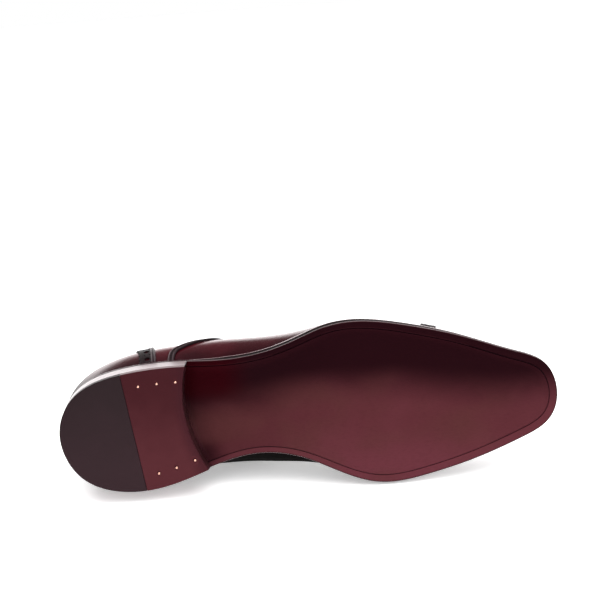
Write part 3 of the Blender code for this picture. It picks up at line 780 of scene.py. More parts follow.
def heel_leather(colours):
    """Stacked leather, waxed at its edge, and painted black as shade on its front face."""
    recipe = Recipe("heel leather")
    upright = recipe.upright()
    layers = recipe.noise(recipe.stretched(upright, (0.05, 0.05, 1.0)), 1.5, 3.0)
    colour = recipe.blend(layers, colours.edge, colours.heel)
    # Painted shade: the heel's front face, under the waist, is painted black.
    colour = recipe.blend(recipe.between(recipe.mark("s"), 0.985, 1.0, 0.0, 0.8), colour,
                          colours.black)
    grain = recipe.bump(recipe.noise(recipe.stretched(upright, (0.2, 0.2, 1.0)), 2.0, 3.0), 0.04)
    return recipe.finished(colour, 0.3, grain, Coat_Weight=0.4, Coat_Roughness=0.18)


def top_leather(colours):
    """The heel's walking face of leather, with the wear of a fresh sanding under its stain."""
    recipe = Recipe("top piece leather")
    upright = recipe.upright()
    cloud = recipe.noise(upright, 0.07, 3.0)
    _, y, z = recipe.parts(upright)
    share = recipe.between(recipe.sums("MULTIPLY_ADD", cloud, 30.0, y), -10.0, 50.0)
    colour = recipe.blend(share, colours.top_dark, colours.top)
    fibres = recipe.noise(upright, 1.8, 4.0, 0.6)
    colour = recipe.blend(recipe.between(fibres, 0.4, 0.75, 0.0, 0.25), colour,
                          colours.edge)
    colour = recipe.blend(recipe.between(recipe.mark("s"), 0.72, 1.0, 0.0, 0.65), colour,
                          colours.band)
    colour = recipe.blend(recipe.between(z, 0.02, 0.15), colour, colours.edge)
    return recipe.finished(colour, 0.42, recipe.bump(fibres, 0.02), Specular_IOR_Level=0.3,
                           Specular_Tint=colours.burnish)


def heel_rubber(colours):
    recipe = Recipe("heel rubber")
    upright = recipe.upright()
    _, y, _ = recipe.parts(upright)
    cloud = recipe.noise(upright, 0.05, 3.0)
    share = recipe.between(recipe.sums("MULTIPLY_ADD", cloud, 30.0, y), -20.0, 60.0)
    colour = recipe.blend(share, colours.rubber_dark, colours.rubber)
    pores = recipe.noise(upright, 4.0, 2.0)
    return recipe.finished(colour, 0.5, recipe.bump(pores, 0.03), Specular_IOR_Level=0.12)


def upper_leather(colours):
    """Polished calf, darker towards the heel and the toe, with painted shade by the sole and on the
    inner side.

    Low on the arch and at the heel's back it is painted black as shade, matt and without shine.
    """
    recipe = Recipe("upper leather")
    upright = recipe.upright()
    x, y, _ = recipe.parts(upright)
    height = recipe.mark("t")
    cloud = recipe.noise(recipe.stretched(upright, (0.6, 1.0, 1.0)), 0.045, 3.0)
    # Painted shade by the sole and on the inner side, and darker towards the toe and the heel.
    low = recipe.between(recipe.sums("MULTIPLY_ADD", cloud, 0.3, height), *UPPER_FOOT_SHADE)
    toe = recipe.between(recipe.sums("MULTIPLY_ADD", cloud, -40.0, x), *UPPER_TOE)
    heel = recipe.between(recipe.sums("MULTIPLY_ADD", cloud, 30.0, x), *UPPER_HEEL)
    dark = low
    for darker in (toe, heel, recipe.between(y, *UPPER_INNER_SHADE)):
        dark = recipe.sums("MAXIMUM", dark, darker)
    tint = recipe.blend(cloud, colours.upper, colours.upper_red)
    colour = recipe.blend(recipe.sums("MULTIPLY", dark, 0.88), tint, colours.upper_dark_and_shade)
    grain = recipe.bump(recipe.between(recipe.cells(upright, 2.2), 0.0, 0.5), 0.012)
    grain = recipe.bump(recipe.noise(upright, 0.25, 2.0), 0.12, grain)
    # Painted shade: low on the arch and at the heel's back the calf is painted black, matt and
    # without shine.
    arch = recipe.sums("MULTIPLY", recipe.between(x, *ARCH_BACK), recipe.between(x, *ARCH_FRONT))
    arch = recipe.sums("MULTIPLY", recipe.between(y, *ARCH_SIDE), arch)
    hidden = recipe.sums("MAXIMUM", arch, recipe.between(x, *HEEL_BACK))
    painted_shade = recipe.sums("MULTIPLY", hidden, recipe.between(height, *ARCH_HEIGHT))
    colour = recipe.blend(painted_shade, colour, colours.black)
    dull = recipe.between(painted_shade, 0.0, 1.0, 0.24, 1.0)
    polish = recipe.between(painted_shade, 0.0, 1.0, 0.3, 0.0)
    shine = recipe.blend(painted_shade, colours.polish, colours.black)
    return recipe.finished(colour, dull, grain, Coat_Weight=polish, Coat_Roughness=0.08,
                           Specular_IOR_Level=0.3, Specular_Tint=shine)


def lining_leather(colours):
    recipe = Recipe("lining leather")
    upright = recipe.upright()
    cloud = recipe.noise(upright, 0.08, 3.0)
    colour = recipe.blend(cloud, colours.lining, colours.lining_dark)
    pores = recipe.cells(upright, 1.6)
    colour = recipe.blend(recipe.between(pores, 0.0, 0.22, 0.35, 0.0), colour,
                          colours.lining_dark)
    return recipe.finished(colour, 0.55, recipe.bump(pores, 0.03))


def band_leather(colours):
    """Near-black strips, dull in their hollows and rubbed to a shine on their beads."""
    recipe = Recipe("band leather")
    upright = recipe.upright()
    cloud = recipe.noise(upright, 0.2, 3.0)
    colour = recipe.blend(cloud, colours.band, colours.black)
    bead = recipe.between(recipe.mark("bead"), 0.2, 0.9)
    colour = recipe.blend(bead, colour, colours.bead)
    dull = recipe.between(bead, 0.0, 1.0, 0.48, 0.22)
    return recipe.finished(colour, dull, recipe.bump(recipe.noise(upright, 1.2, 3.0), 0.08),
                           Specular_IOR_Level=0.3)


def welt_leather(colours):
    recipe = Recipe("welt leather")
    upright = recipe.upright()
    cloud = recipe.noise(recipe.stretched(upright, (0.3, 0.3, 1.0)), 0.8, 3.0)
    colour = recipe.blend(cloud, colours.edge, colours.welt)
    # Painted shade: the welt's underside, under its overhang, is painted black.
    colour = recipe.blend(recipe.between(recipe.mark("t"), 0.09, 0.2, 1.0, 0.0), colour,
                          colours.black)
    return recipe.finished(colour, 0.26, recipe.bump(cloud, 0.03), Coat_Weight=0.35,
                           Coat_Roughness=0.12, Specular_Tint=colours.edge_shine)


def brass(colours):
    recipe = Recipe("brass")
    scuffs = recipe.noise(recipe.upright(), 3.0, 3.0)
    colour = recipe.blend(scuffs, colours.brass, colours.brass_red)
    return recipe.finished(colour, 0.2, recipe.bump(scuffs, 0.02), Metallic=1.0)


def thread(colours, name, tone):
    recipe = Recipe(name)
    strands = recipe.noise(recipe.upright(), 5.0, 2.0)
    colour = recipe.blend(strands, tone, colours.black)
    return recipe.finished(colour, 0.6, recipe.bump(strands, 0.05))


def waxed_cotton(colours):
    """Round braid: two sets of strands that cross as they wind round the lace."""
    recipe = Recipe("waxed cotton")
    along, round_it, _ = recipe.parts(recipe.strip())
    winds = []
    for way in (1.0, -1.0):
        turn = recipe.sums("MULTIPLY_ADD", round_it, 3.0 * way, recipe.sums("MULTIPLY", along, 3.2))
        winds.append(recipe.sums("SINE", turn))
    braid = recipe.sums("MAXIMUM", *winds)
    lit = recipe.between(braid, -0.2, 1.0)
    colour = recipe.blend(lit, colours.black, colours.lace)
    return recipe.finished(colour, 0.5, recipe.bump(lit, 0.2), Sheen_Weight=0.2)


def studio_floor(colours):
    recipe = Recipe("studio floor")
    place = recipe.node("ShaderNodeTexCoord", {}).outputs["Object"]
    paper = recipe.noise(place, 900.0, 2.0)
    colour = recipe.blend(paper, colours.floor, (0.93, 0.93, 0.93))
    glow = bpy.context.scene.oxford.stage.floor_glow
    return recipe.finished(colour, 0.9, Specular_IOR_Level=0.1, Emission_Color=(1.0, 1.0, 1.0),
                           Emission_Strength=glow)


FINISHES = {
    "sole": sole_leather, "edge": waxed_edge, "heel": heel_leather, "top": top_leather,
    "rubber": heel_rubber, "upper": upper_leather, "lining": lining_leather,
    "band": band_leather, "welt": welt_leather, "brass": brass, "lace": waxed_cotton,
    "floor": studio_floor,
    "welt_thread": lambda colours: thread(colours, "welt thread", colours.welt_thread),
    "upper_thread": lambda colours: thread(colours, "upper thread", colours.upper_thread),
}


@functools.cache
def finish_of(name):
    """A finish by its short name, made when it is first asked for."""
    return FINISHES[name](bpy.context.scene.oxford.colours)


# ---------------------------------------------------------------- sole and heel

def channel_inset(place):
    x = last_at(place)[0]
    return float(np.interp(x, [row.x for row in CHANNEL], [row.inset for row in CHANNEL]))


@functools.cache
def edge_swell(place):
    """How far the trimmed edge swells out past the sole's flat.

    It swells most at the outer side's waist and by the toe band, and not by the heel or the toe.
    """
    x = last_at(place)[0]
    by_heel = share_between(x, HEEL_OUTER_CORNER, HEEL_OUTER_CORNER + 25.0)
    by_toe = share_between(place, 1.02 * HALF, 0.93 * HALF)
    waist = 1.0 - share_between(x, 165.0, 205.0)
    cap = 1.0 - share_between(x, 228.0, 262.0)
    return 0.05 + (0.15 + 0.5 * cap + 0.5 * waist) * by_heel * by_toe


def sole_profile(place, sizes):
    """The sole's section by its edge: (distance inside the edge, height), from its top down.

    The wall stands straight, with a lip below the welt.
    """
    channel = channel_inset(place)
    depth = sizes.channel_depth / MM
    thick = OUTSOLE_THICK
    swell = edge_swell(place)
    return [
        (SOLE_RING, thick), (0.7 - 0.4 * swell, thick), (0.25 - 0.4 * swell, thick - 0.05),
        (0.06 - 0.4 * swell, thick - 0.25), (-0.3 * swell, thick - 0.5),
        (-0.05 * swell, thick - 1.3), (0.0, 1.0), (0.0, 0.35), (0.1, 0.1), (0.35, 0.0),
        (0.8, 0.0), (channel - 0.8, 0.0), (channel - 0.35, 0.02), (channel - 0.12, 0.5 * depth),
        (channel, depth), (channel + 0.15, 0.5 * depth), (channel + 0.4, -0.06),
        (channel + 0.8, 0.0), (SOLE_RING, 0.0),
    ]


def across_sole(s, t, inset):
    """Plan point on the line across the sole between two facing places, inside its edge."""
    places = (s * HALF, (2.0 - s) * HALF)
    outer, inner = [sole_edge(place, inset(place))[0] for place in places]
    return blend(outer, inner, t)


def make_outsole(sizes):
    """The outsole: its rim with the channel, and the flat faces that the rim runs round."""
    mesh = bmesh.new()
    points = len(sole_profile(0.0, sizes)) - 1
    along = 320

    def profile_at(s, t):
        return sole_profile(2.0 * HALF * s, sizes)[round(t * points)]

    def rim(s, t):
        inset, height = profile_at(s, t)
        x, y = sole_edge(2.0 * HALF * s, inset)[0]
        return x, y, underside(x) + height

    def to_channel(s, t):
        inset, height = profile_at(s, t)
        return inset - channel_inset(2.0 * HALF * s) if height < 1.0 else -SOLE_RING

    def ring_inset(*_):
        return SOLE_RING

    mapped_grid(mesh, 2 * along, points, rim, edge=lambda s, t: profile_at(s, t)[0],
                channel=to_channel)
    for height in (0.0, OUTSOLE_THICK):
        def face(s, t, height=height):
            x, y = across_sole(s, t, ring_inset)
            return x, y, underside(x) + height

        mapped_grid(mesh, along, 30, face, edge=ring_inset, channel=ring_inset)
    close_seams(mesh)
    edge = float_layer(mesh, "edge")
    for face in mesh.faces:
        if max(vert[edge] for vert in face.verts) < EDGE_FINISH:
            face.material_index = 1
    finish_piece("leather_outsole", mesh, ["sole", "edge"], ["outsole"])


def upper_foot_inset(place):
    """How far inside the sole's edge the inner side of the upper stands."""
    return last_at(place)[2] + UPPER_WALL + GAP


def welt_seam(place):
    """How far inside the welt's edge its stitches run, and how clearly they show there."""
    shelf = last_at(place)[2] - WELT_STEP
    return 0.5 * shelf, share_between(shelf, 1.6, 3.0)


def make_welt(sizes):
    """The welt, with a groove for its stitches and a wheeled mark between each two."""
    pitch = sizes.welt_pitch / MM
    points = 13

    def profile(place):
        seam, clear = welt_seam(place)
        shelf = 2.0 * seam
        top = WELT_THICK
        mark = 0.12 * clear * math.cos(2.0 * math.pi * place / pitch)
        foot = upper_foot_inset(place) - WELT_STEP
        half = min(0.45, 0.3 * shelf)
        return [
            (foot, 0.0), (0.3, 0.0), (0.05, 0.35), (-0.08, 1.2), (-0.2, top - 0.5),
            (-0.08, top - 0.18), (0.25, top), (seam - half, top + mark),
            (seam, top - WELT_GROOVE * clear), (seam + half, top), (shelf, top), (shelf + 1.0, top),
            (foot, top), (foot, 0.0),
        ]

    def shape(s, t):
        place = 2.0 * HALF * s
        inset, height = profile(place)[round(t * points)]
        swell = 1.05 * edge_swell(place) * share_between(inset, 1.5, 0.5)
        x, y = sole_edge(place, WELT_STEP + inset - swell)[0]
        return x, y, underside(x) + OUTSOLE_THICK + 0.5 * GAP + height

    mesh = bmesh.new()
    mapped_grid(mesh, 1200, points, shape)
    close_seams(mesh)
    finish_piece("leather_welt", mesh, ["welt"], ["welt"])


def welt_stitch_path():
    """From waist to waist round the toe, along the welt's groove."""
    path = []
    start, end = place_of(WELT_SEAM_OUTER, OUTER_SIDE), place_of(WELT_SEAM_INNER, INNER_SIDE)
    for place in np.arange(start, end, 2.0):
        seam = welt_seam(place)[0]
        x, y = sole_edge(place, WELT_STEP + seam)[0]
        path.append(((x, y, welt_top(x) - WELT_GROOVE), (0.0, 0.0, 1.0)))
    return path


def make_insole():
    """The board under the foot, with a slight crown."""
    def shape(s, t, skin):
        x, y = across_sole(s, t, lambda place: upper_foot_inset(place) + 2.0 * GAP)
        crown = 0.5 * skin * (1.0 - (2.0 * t - 1.0) ** 6)
        low = underside(x) + OUTSOLE_THICK + GAP
        return x, y, low + skin * (GAP + WELT_THICK + INSOLE_RISE - 0.5) + crown

    mesh = block(shape, along=150, across=30)
    piece = finish_piece("sock_insole", mesh, ["lining"], ["insole"])
    round_edges(piece, 0.5)


def place_at_x(side, x):
    """Distance from the heel's back along one side to where the sole's edge reaches a given X."""
    low, high = 0.0, PLACES[8]
    for _ in range(40):
        middle = (low + high) / 2.0
        place = middle if side < 0 else 2.0 * HALF - middle
        if sole_edge(place)[0][0] < x:
            low = middle
        else:
            high = middle
    return low


OUTER_CORNER = place_at_x(OUTER_SIDE, HEEL_OUTER_CORNER)
INNER_CORNER = place_at_x(INNER_SIDE, HEEL_INNER_CORNER)


def heel_inset(z):
    """How far the heel's side lies inside the sole's edge at a height."""
    return HEEL_TAPER * (1.0 - z / HEEL_HEIGHT)


def heel_line(outer_reach, inner_reach, t, inset):
    """Plan point on the line across the heel between two distances from its back."""
    outer = sole_edge(outer_reach, inset)[0]
    inner = sole_edge(2.0 * HALF - inner_reach, inset)[0]
    return blend(outer, inner, t)


def bow(s, t, inset):
    """How far the lines across the heel curve back: not at its back, fully at its front."""
    return s ** 2 * (HEEL_SAG * 4.0 * t * (1.0 - t) + HEEL_LEAN * inset)


def make_heel():
    """The stacked lifts, pressed close so that only hairlines show between them."""
    for number in range(LIFTS):
        bottom = TOP_PIECE_THICK + 0.5 * GAP + number * (LIFT_THICK + GAP)

        def shape(s, t, skin, bottom=bottom, is_seat=number == LIFTS - 1):
            top = bottom + LIFT_THICK + 0.9 * GAP
            inset = heel_inset(blend(bottom, top, skin))
            x, y = heel_line(s * OUTER_CORNER, s * INNER_CORNER, t, inset)
            x -= bow(s, t, inset)
            if is_seat:
                top = underside(x) - 0.1 * GAP
            return x, y, blend(bottom, top, skin)

        mesh = block(shape, along=80, across=24)
        piece = finish_piece(f"stacked_lift_{number + 1}", mesh, ["heel"],
                             [f"heel_lift_{number + 1}"])
        round_edges(piece, 0.15, angle=60.0)


def make_top_piece():
    """The walking piece of the heel: rubber behind a straight joint, nailed leather before it."""
    outer_joint = place_at_x(OUTER_SIDE, SPLIT_OUTER)
    inner_joint = place_at_x(INNER_SIDE, SPLIT_INNER)

    def rubber(s, t, skin):
        z = skin * TOP_PIECE_THICK
        x, y = heel_line(s * outer_joint, s * inner_joint, t, heel_inset(z))
        return x, y, z

    def leather(s, t, skin):
        z = skin * TOP_PIECE_THICK
        inset = heel_inset(z)
        outer = blend(outer_joint + 0.5 * GAP, OUTER_CORNER, s)
        inner = blend(inner_joint + 0.5 * GAP, INNER_CORNER, s)
        x, y = heel_line(outer, inner, t, inset)
        return x - bow(s, t, inset), y, z

    piece = finish_piece("rubber_top_piece", block(rubber, along=60, across=24), ["rubber"],
                         ["top_piece_rubber"])
    round_edges(piece, 0.35, 3, 60.0)
    piece = finish_piece("leather_top_piece", block(leather, along=24, across=24), ["top"],
                         ["top_piece_leather"])
    round_edges(piece, 0.3, 3, 60.0)
    nails = nail_points()
    punch(piece, [(point, (0.0, 0.0, 1.0), NAIL_HOLE) for point in nails], NAIL_LENGTH)
    for number, (x, y, _) in enumerate(nails):
        make_nail(number + 1, x, y)


def nail_points():
    """Where the nails show in the walking face: a row of three along each side."""
    points = []
    for side, first in ((OUTER_SIDE, SPLIT_OUTER), (INNER_SIDE, SPLIT_INNER)):
        for number in range(NAILS_A_SIDE):
            reach = place_at_x(side, first + NAIL_FIRST + number * NAIL_PITCH)
            place = reach if side < 0 else 2.0 * HALF - reach
            x, y = sole_edge(place, NAIL_INSET)[0]
            points.append((x, y, 0.0))
    return points


def make_nail(number, x, y):
    """A clenched nail: a short shank with a slightly domed head, level with the leather."""
    mesh = bmesh.new()
    middle = Matrix.Translation((x, y, NAIL_SUNK + NAIL_LENGTH / 2.0))
    bmesh.ops.create_cone(mesh, cap_ends=True, segments=24, radius1=NAIL_RADIUS,
                          radius2=NAIL_RADIUS, depth=NAIL_LENGTH, matrix=middle)
    head = Matrix.Translation((x, y, NAIL_HEAD_SUNK)) @ Matrix.Diagonal((*NAIL_HEAD, 1.0))
    bmesh.ops.create_uvsphere(mesh, u_segments=24, v_segments=12, radius=1.0, matrix=head)
    finish_piece(f"brass_nail_{number}", mesh, ["brass"], [f"heel_nail_{number}"])


# ---------------------------------------------------------------- upper

def relief(place, height, point):
    """How far the upper's face is raised by its creases and its back seam."""
    raised = 0.0
    for crease in CREASES:
        fall = last_at(place)[5] - point[2]
        away = (point[0] - crease.x + crease.lean * fall) / crease.width
        if abs(away) < 3.0:
            share = share_between(height, crease.low, crease.low + 0.25)
            share *= share_between(height, crease.high, crease.high - 0.2)
            raised -= share * crease.depth * (1.0 - 1.4 * away ** 2) * math.exp(-away ** 2)
    seam = min(place, 2.0 * HALF - place) / BACK_SEAM_WIDTH
    return raised - BACK_SEAM_DEPTH * math.exp(-seam ** 2)


def leather_face(place, height, lift):
    """Point at a distance out of the upper's dressed outer face."""
    place = place % (2.0 * HALF)
    return upper_face(place, height, lift + relief(place, height, on_last(place, height)))


def facing_height(place, distance):
    """Height of a point at a distance from the section's top, measured along the section."""
    return 1.0 - distance / (3.0 * last_at(place)[9])


def make_upper():
    """The hollow body, lined inside, with rounded edges and its eyelets punched."""
    slit_end = place_of(SLIT_END, OUTER_SIDE)

    def shape(s, t, skin):
        place = 2.0 * HALF * s
        point = leather_face(place, t, -skin * UPPER_WALL)
        is_ridge = t > 0.999 and slit_end <= place <= 2.0 * HALF - slit_end
        if is_ridge:
            point = (point + leather_face(2.0 * HALF - place, t, -skin * UPPER_WALL)) / 2.0
        if t < 0.001:
            point[2] = welt_top(point[0]) + 0.3 * GAP
        return point

    mesh = block(shape, along=460, across=48)
    piece = finish_piece("leather_upper", mesh, ["upper", "lining"], ["upper"])
    round_edges(piece, 0.75, 3, 50.0)
    punch(piece, eyelet_holes(), 4.0 * UPPER_WALL)


def eyelet_row(number):
    """Row number of a pair of eyelets, from the top pair down to the throat."""
    return blend(EYELET_TOP_ROW, EYELET_LOW_ROW, number / (EYELETS - 1))


def lace_point(number, side, distance, lift):
    """Point near the facing: an eyelet's number, a distance from the facing's edge and a lift."""
    place = place_of(eyelet_row(number), side)
    return upper_face(place, facing_height(place, distance), lift)


def eyelet_holes():
    """The upper's eyelets as holes to punch: middle, direction and radius."""
    holes = []
    for number in range(EYELETS):
        for side in (OUTER_SIDE, INNER_SIDE):
            top = lace_point(number, side, EYELET_INSET, 1.0)
            bottom = lace_point(number, side, EYELET_INSET, -1.0 - UPPER_WALL)
            holes.append(((top + bottom) / 2.0, top - bottom, EYELET_RADIUS))
    return holes


def face_path(spots, lift):
    """Samples for stitches over the upper: each spot is a place and a height."""
    path = []
    for place, height in spots:
        point = leather_face(place, height, lift)
        above = leather_face(place, height, lift + 1.0)
        path.append((point, above - point))
    return path


def seam_spots(seam, side):
    """Spots along a row of stitches by the topline or the facing."""
    places = [place_of(row, side) for row in np.linspace(seam.start, seam.end, 60)]
    return [(place, facing_height(place, seam.inset)) for place in places]


def upper_seams():
    """Rows of stitches: along the topline, double round the facings, and up the back."""
    paths = []
    for side in (OUTER_SIDE, INNER_SIDE):
        for seam in (TOPLINE_SEAM, FACING_SEAM, *DOUBLE_SEAM):
            paths.append(face_path(seam_spots(seam, side), SEAM_LIFT))
        beside_seam = side * BACK_STITCHES % (2.0 * HALF)
        heights = np.linspace(0.04, 0.95, 40)
        paths.append(face_path([(beside_seam, height) for height in heights], 0.02))
    for seam in DOUBLE_SEAM:
        for side in (OUTER_SIDE, INNER_SIDE):
            end, turn, ridge = [place_of(row, side)
                                for row in (seam.end, SLIT_END + 0.25, SLIT_END + 0.37)]
            spots = [(end, facing_height(end, seam.inset)), (turn, facing_height(turn, 9.0)),
                     (ridge, 0.99)]
            paths.append(face_path(spots if side < 0 else spots[::-1], SEAM_LIFT))
    return paths


# ---------------------------------------------------------------- raised bands

@functools.lru_cache(maxsize=None)
def crossing(path, s):
    """Change of place and height for a millimetre to the left of a path over the upper."""
    place, height = path(s)
    ahead = on_last(*path(min(s + 0.01, 1.0))) - on_last(*path(max(s - 0.01, 0.0)))
    along = on_last(place + 0.5, height) - on_last(place - 0.5, height)
    low = min(max(height - 0.01, 0.0), 0.98)
    up = (on_last(place, low + 0.02) - on_last(place, low)) / 0.02
    across = cross(cross(along, up), ahead)
    across /= math.hypot(*across)
    skew, wide, tall = along @ up, along @ along, up @ up
    square = wide * tall - skew * skew
    right, rise = across @ along, across @ up
    return (right * tall - rise * skew) / square, (rise * wide - right * skew) / square


def beside(path, s, offset):
    """Place and height beside a path over the upper, at an offset to its left."""
    place, height = path(s)
    aside, higher = crossing(path, s)
    return place + offset * aside, min(max(height + offset * higher, 0.0), 1.0)


def above_welt(point):
    """A point, raised to the welt's top where it would lie lower."""
    return point[0], point[1], max(point[2], welt_top(point[0]) + 0.3 * GAP)


def length_of(path):
    """Length of a path over the upper."""
    points = [on_last(*path(s)) for s in np.linspace(0.0, 1.0, 60)]
    return sum(math.dist(a, b) for a, b in zip(points, points[1:]))


def tooth(along, pitch):
    """Zigzag from 0 to 1 and back in each pitch, as pinking shears cut an edge."""
    return 1.0 - abs(2.0 * (along / pitch % 1.0) - 1.0)


class Band:
    """A raised strip over the upper: where it runs and how its two edges are cut.

    spot(s, offset) is the place and height on the upper, s from 0 to 1 along the strip.
    """

    def __init__(self, name, spot, length, width, pinked, beads=(), is_punched=False):
        self.name = name
        self.spot = spot
        self.length = length
        self.width = width
        self.pinked = pinked
        self.beads = beads
        self.is_punched = is_punched

    def edge(self, s, way, sizes):
        """Offset of one edge, way -1 or 1, with its teeth where it is pinked."""
        half = 0.5 * self.width
        if way not in self.pinked:
            return way * half
        depth = sizes.pinking_depth / MM
        return way * (half - depth + depth * tooth(s * self.length, sizes.pinking_pitch / MM))

    def offset(self, s, t, sizes):
        return blend(self.edge(s, -1, sizes), self.edge(s, 1, sizes), t)

    def beading(self, offset):
        """How much of a bead's height the strip has at an offset."""
        return sum(math.exp(-((offset - bead) / BEAD_WIDTH) ** 2) for bead in self.beads)

    def shape(self, sizes):
        def point(s, t, skin):
            offset = self.offset(s, t, sizes)
            raised = sizes.band_thick / MM + BEAD_RISE * self.beading(offset)
            return above_welt(leather_face(*self.spot(s, offset), 0.3 * GAP + skin * raised))
        return point

    def path(self, offset, lift):
        """Samples along the strip at an offset from its middle."""
        spots = [self.spot(s, offset) for s in np.linspace(0.01, 0.99, 90)]
        return face_path(spots, lift)


def make_band(band, node, sizes):
    """A strip with rounded edges, a row of holes and small pricks between them on both sides."""
    along = max(40, round(band.length / (sizes.pinking_pitch / MM) * TOOTH_STEPS))
    mesh = block(band.shape(sizes), along, round(band.width / BAND_GRID),
                 (band.length, band.width),
                 bead=lambda s, t: band.beading(band.offset(s, t, sizes)))
    piece = finish_piece(band.name, mesh, ["band"], [node])
    round_edges(piece, BAND_EDGE, 2, 50.0)
    if band.is_punched:
        holes = [(point, out, HOLE_RADIUS)
                 for point, ahead, out in walk(band.path(0.0, 1.0), HOLE_PITCH)]
        for aside in (-PRICK_ASIDE, PRICK_ASIDE):
            for point, ahead, out in walk(band.path(aside, 1.0), HOLE_PITCH)[:-1]:
                middle = point + ahead / np.linalg.norm(ahead) * 0.5 * HOLE_PITCH
                holes.append((middle, out, PRICK_RADIUS))
        punch(piece, holes, HOLE_DEPTH, 14)


def toe_band():
    """The strip across the front of the vamp, from welt to welt."""
    def path_on(side, foot):
        def path(height):
            return place_of(blend(foot, TOE_BAND_RIDGE, height ** 1.5), side), height
        return path

    outer = path_on(OUTER_SIDE, TOE_BAND_OUTER)
    inner = path_on(INNER_SIDE, TOE_BAND_INNER)

    def spot(s, offset):
        if s <= 0.5:
            return beside(outer, 2.0 * s, -offset)
        return beside(inner, 2.0 - 2.0 * s, offset)

    length = length_of(outer) + length_of(inner)
    return Band("toe_strip", spot, length, TOE_BAND_WIDTH, (-1, 1), is_punched=True)


def heel_band(row):
    """The strip up one side of the heel: teeth at its back edge and beads at its front."""
    def path(s):
        return place_of(row.heel_band, row.side), s * HEEL_BAND_TOP

    beads = [row.side * bead for bead in HEEL_BEADS]
    return Band(f"heel_strip_{row.name}", functools.partial(beside, path), length_of(path),
                HEEL_BAND_WIDTH, (-row.side,), beads, is_punched=True)


def quarter_trim(row):
    """The narrow strip from the sole up one side and forward to the throat."""
    rows = Curve(range(len(TRIM)), TRIM, closed=False)

    def path(s):
        number, outer, inner = rows.at(s * (len(TRIM) - 1))
        return place_of(number, row.side), outer if row.side < 0 else inner

    return Band(f"quarter_strip_{row.name}", functools.partial(beside, path), length_of(path),
                TRIM_WIDTH, (), TRIM_BEADS)


def make_bands(sizes):
    """The strips over the toe, up both sides of the heel, and over both quarters."""
    make_band(toe_band(), "toe_band", sizes)
    for row in SIDES:
        make_band(heel_band(row), f"heel_band_{row.name}", sizes)
    for row in SIDES:
        make_band(quarter_trim(row), f"quarter_trim_{row.name}", sizes)


# ---------------------------------------------------------------- tongue and lace

def bridge(row, distance, lift, t):
    """Point on an arch that joins the two facings across the lacing."""
    ends = []
    for side in (OUTER_SIDE, INNER_SIDE):
        place = place_of(row, side)
        height = facing_height(place, distance)
        point = upper_face(place, height, lift)
        lower = upper_face(place, height - 0.02, lift)
        ends.append((point, (point - lower) / np.linalg.norm(point - lower)))
    a, d = ends[0][0], ends[1][0]
    pull = np.linalg.norm(a - d) / 3.0
    return bezier(a, a + pull * ends[0][1], d + pull * ends[1][1], d, t)


def tongue_point(s, t, lift):
    """Point over the tongue's outer face, s from its front up and t from side to side."""
    top_share = 1.0 - TONGUE_RISE_SHARE
    row = blend(TONGUE_FRONT_ROW, TONGUE_TOP_ROW, share_between(s, 0.0, top_share))
    room = blend(LACE_ROOM, GAP, share_between(row, THROAT, TONGUE_FRONT_ROW))
    depth = UPPER_WALL + room - lift
    beyond = share_between(s, top_share, 1.0)
    narrow = share_between(row, TONGUE_WIDE_ROW, TONGUE_TOP_ROW)
    width = blend(TONGUE_WIDE, TONGUE_NARROW, narrow) - beyond * TONGUE_TAPER
    point = bridge(row, width, -depth, t)
    if beyond:
        up = point - bridge(row + 0.2, width, -depth, t)
        point = point + up / np.linalg.norm(up) * beyond * TONGUE_RISE
    return point


def make_tongue():
    """The tongue, lined and with rounded edges."""
    mesh = block(lambda s, t, skin: tongue_point(s, t, -skin * TONGUE_THICK), 90, 50)
    piece = finish_piece("leather_tongue", mesh, ["upper", "lining"],
                         ["tongue"])
    round_edges(piece, 0.9, 3, 60.0)


def tongue_seams():
    """One row of stitches inside the tongue's free edges."""
    rising = np.linspace(TONGUE_SEAM_START, TONGUE_SEAM_TOP, 20)
    path = [(s, TONGUE_SEAM) for s in rising]
    path += [(TONGUE_SEAM_TOP + 0.005, t) for t in np.linspace(0.06, 0.94, 20)]
    path += [(s, 1.0 - TONGUE_SEAM) for s in reversed(rising)]
    samples = []
    for s, t in path:
        point = tongue_point(s, t, SEAM_LIFT)
        samples.append((point, tongue_point(s, t, SEAM_LIFT + 1.0) - point))
    return [samples]


def lace_route():
    """Points along the lace: a bar over each pair of eyelets but the top one, hidden between."""
    over = LACE_RADIUS + LACE_CLEAR
    under = -UPPER_WALL - LACE_RADIUS - LACE_CLEAR
    inside = -0.5 * UPPER_WALL
    last = EYELETS - 1
    deep = EYELET_INSET

    def through(number, side, coming):
        """Up through an eyelet, from the hidden run that comes from the eyelet beside it."""
        return [
            lace_point(number + 0.34 * coming, side, deep, under),
            lace_point(number + 0.14 * coming, side, deep, under + 0.5),
            lace_point(number, side, deep, inside),
            lace_point(number, side, deep - 0.3, 0.8),
            lace_point(number, side, deep - 2.1, over + 0.1),
        ]

    def bar(number, side):
        """Over the lacing, from one facing to the other."""
        row = eyelet_row(number)
        way = [bridge(row, 1.0, over, share) for share in (0.0, 0.5, 1.0)]
        return way if side < 0 else way[::-1]

    side = OUTER_SIDE
    route = [
        lace_point(0, side, deep, 0.4),
        lace_point(0, side, deep, inside),
        lace_point(0.14, side, deep, under + 0.5),
        lace_point(0.34, side, deep, under),
    ]
    for number in range(1, last + 1):
        route += through(number, side, -1.0)
        route += bar(number, side)
        side = -side
        coming = 1.0 if number < last else -1.0
        route += through(number, side, coming)[::-1]
    route.pop()
    route.append(lace_point(last - 0.4, side, 0.5 * (deep + LACE_BESIDE), under))
    for number in range(last - 1, 0, -1):
        route.append(lace_point(number, side, LACE_BESIDE, under))
    return route + [
        lace_point(0.55, side, LACE_BESIDE + 0.8, under),
        lace_point(0.2, side, deep - 0.4, under + 0.4),
        lace_point(0, side, deep, inside),
        lace_point(0, side, deep, 0.4),
    ]


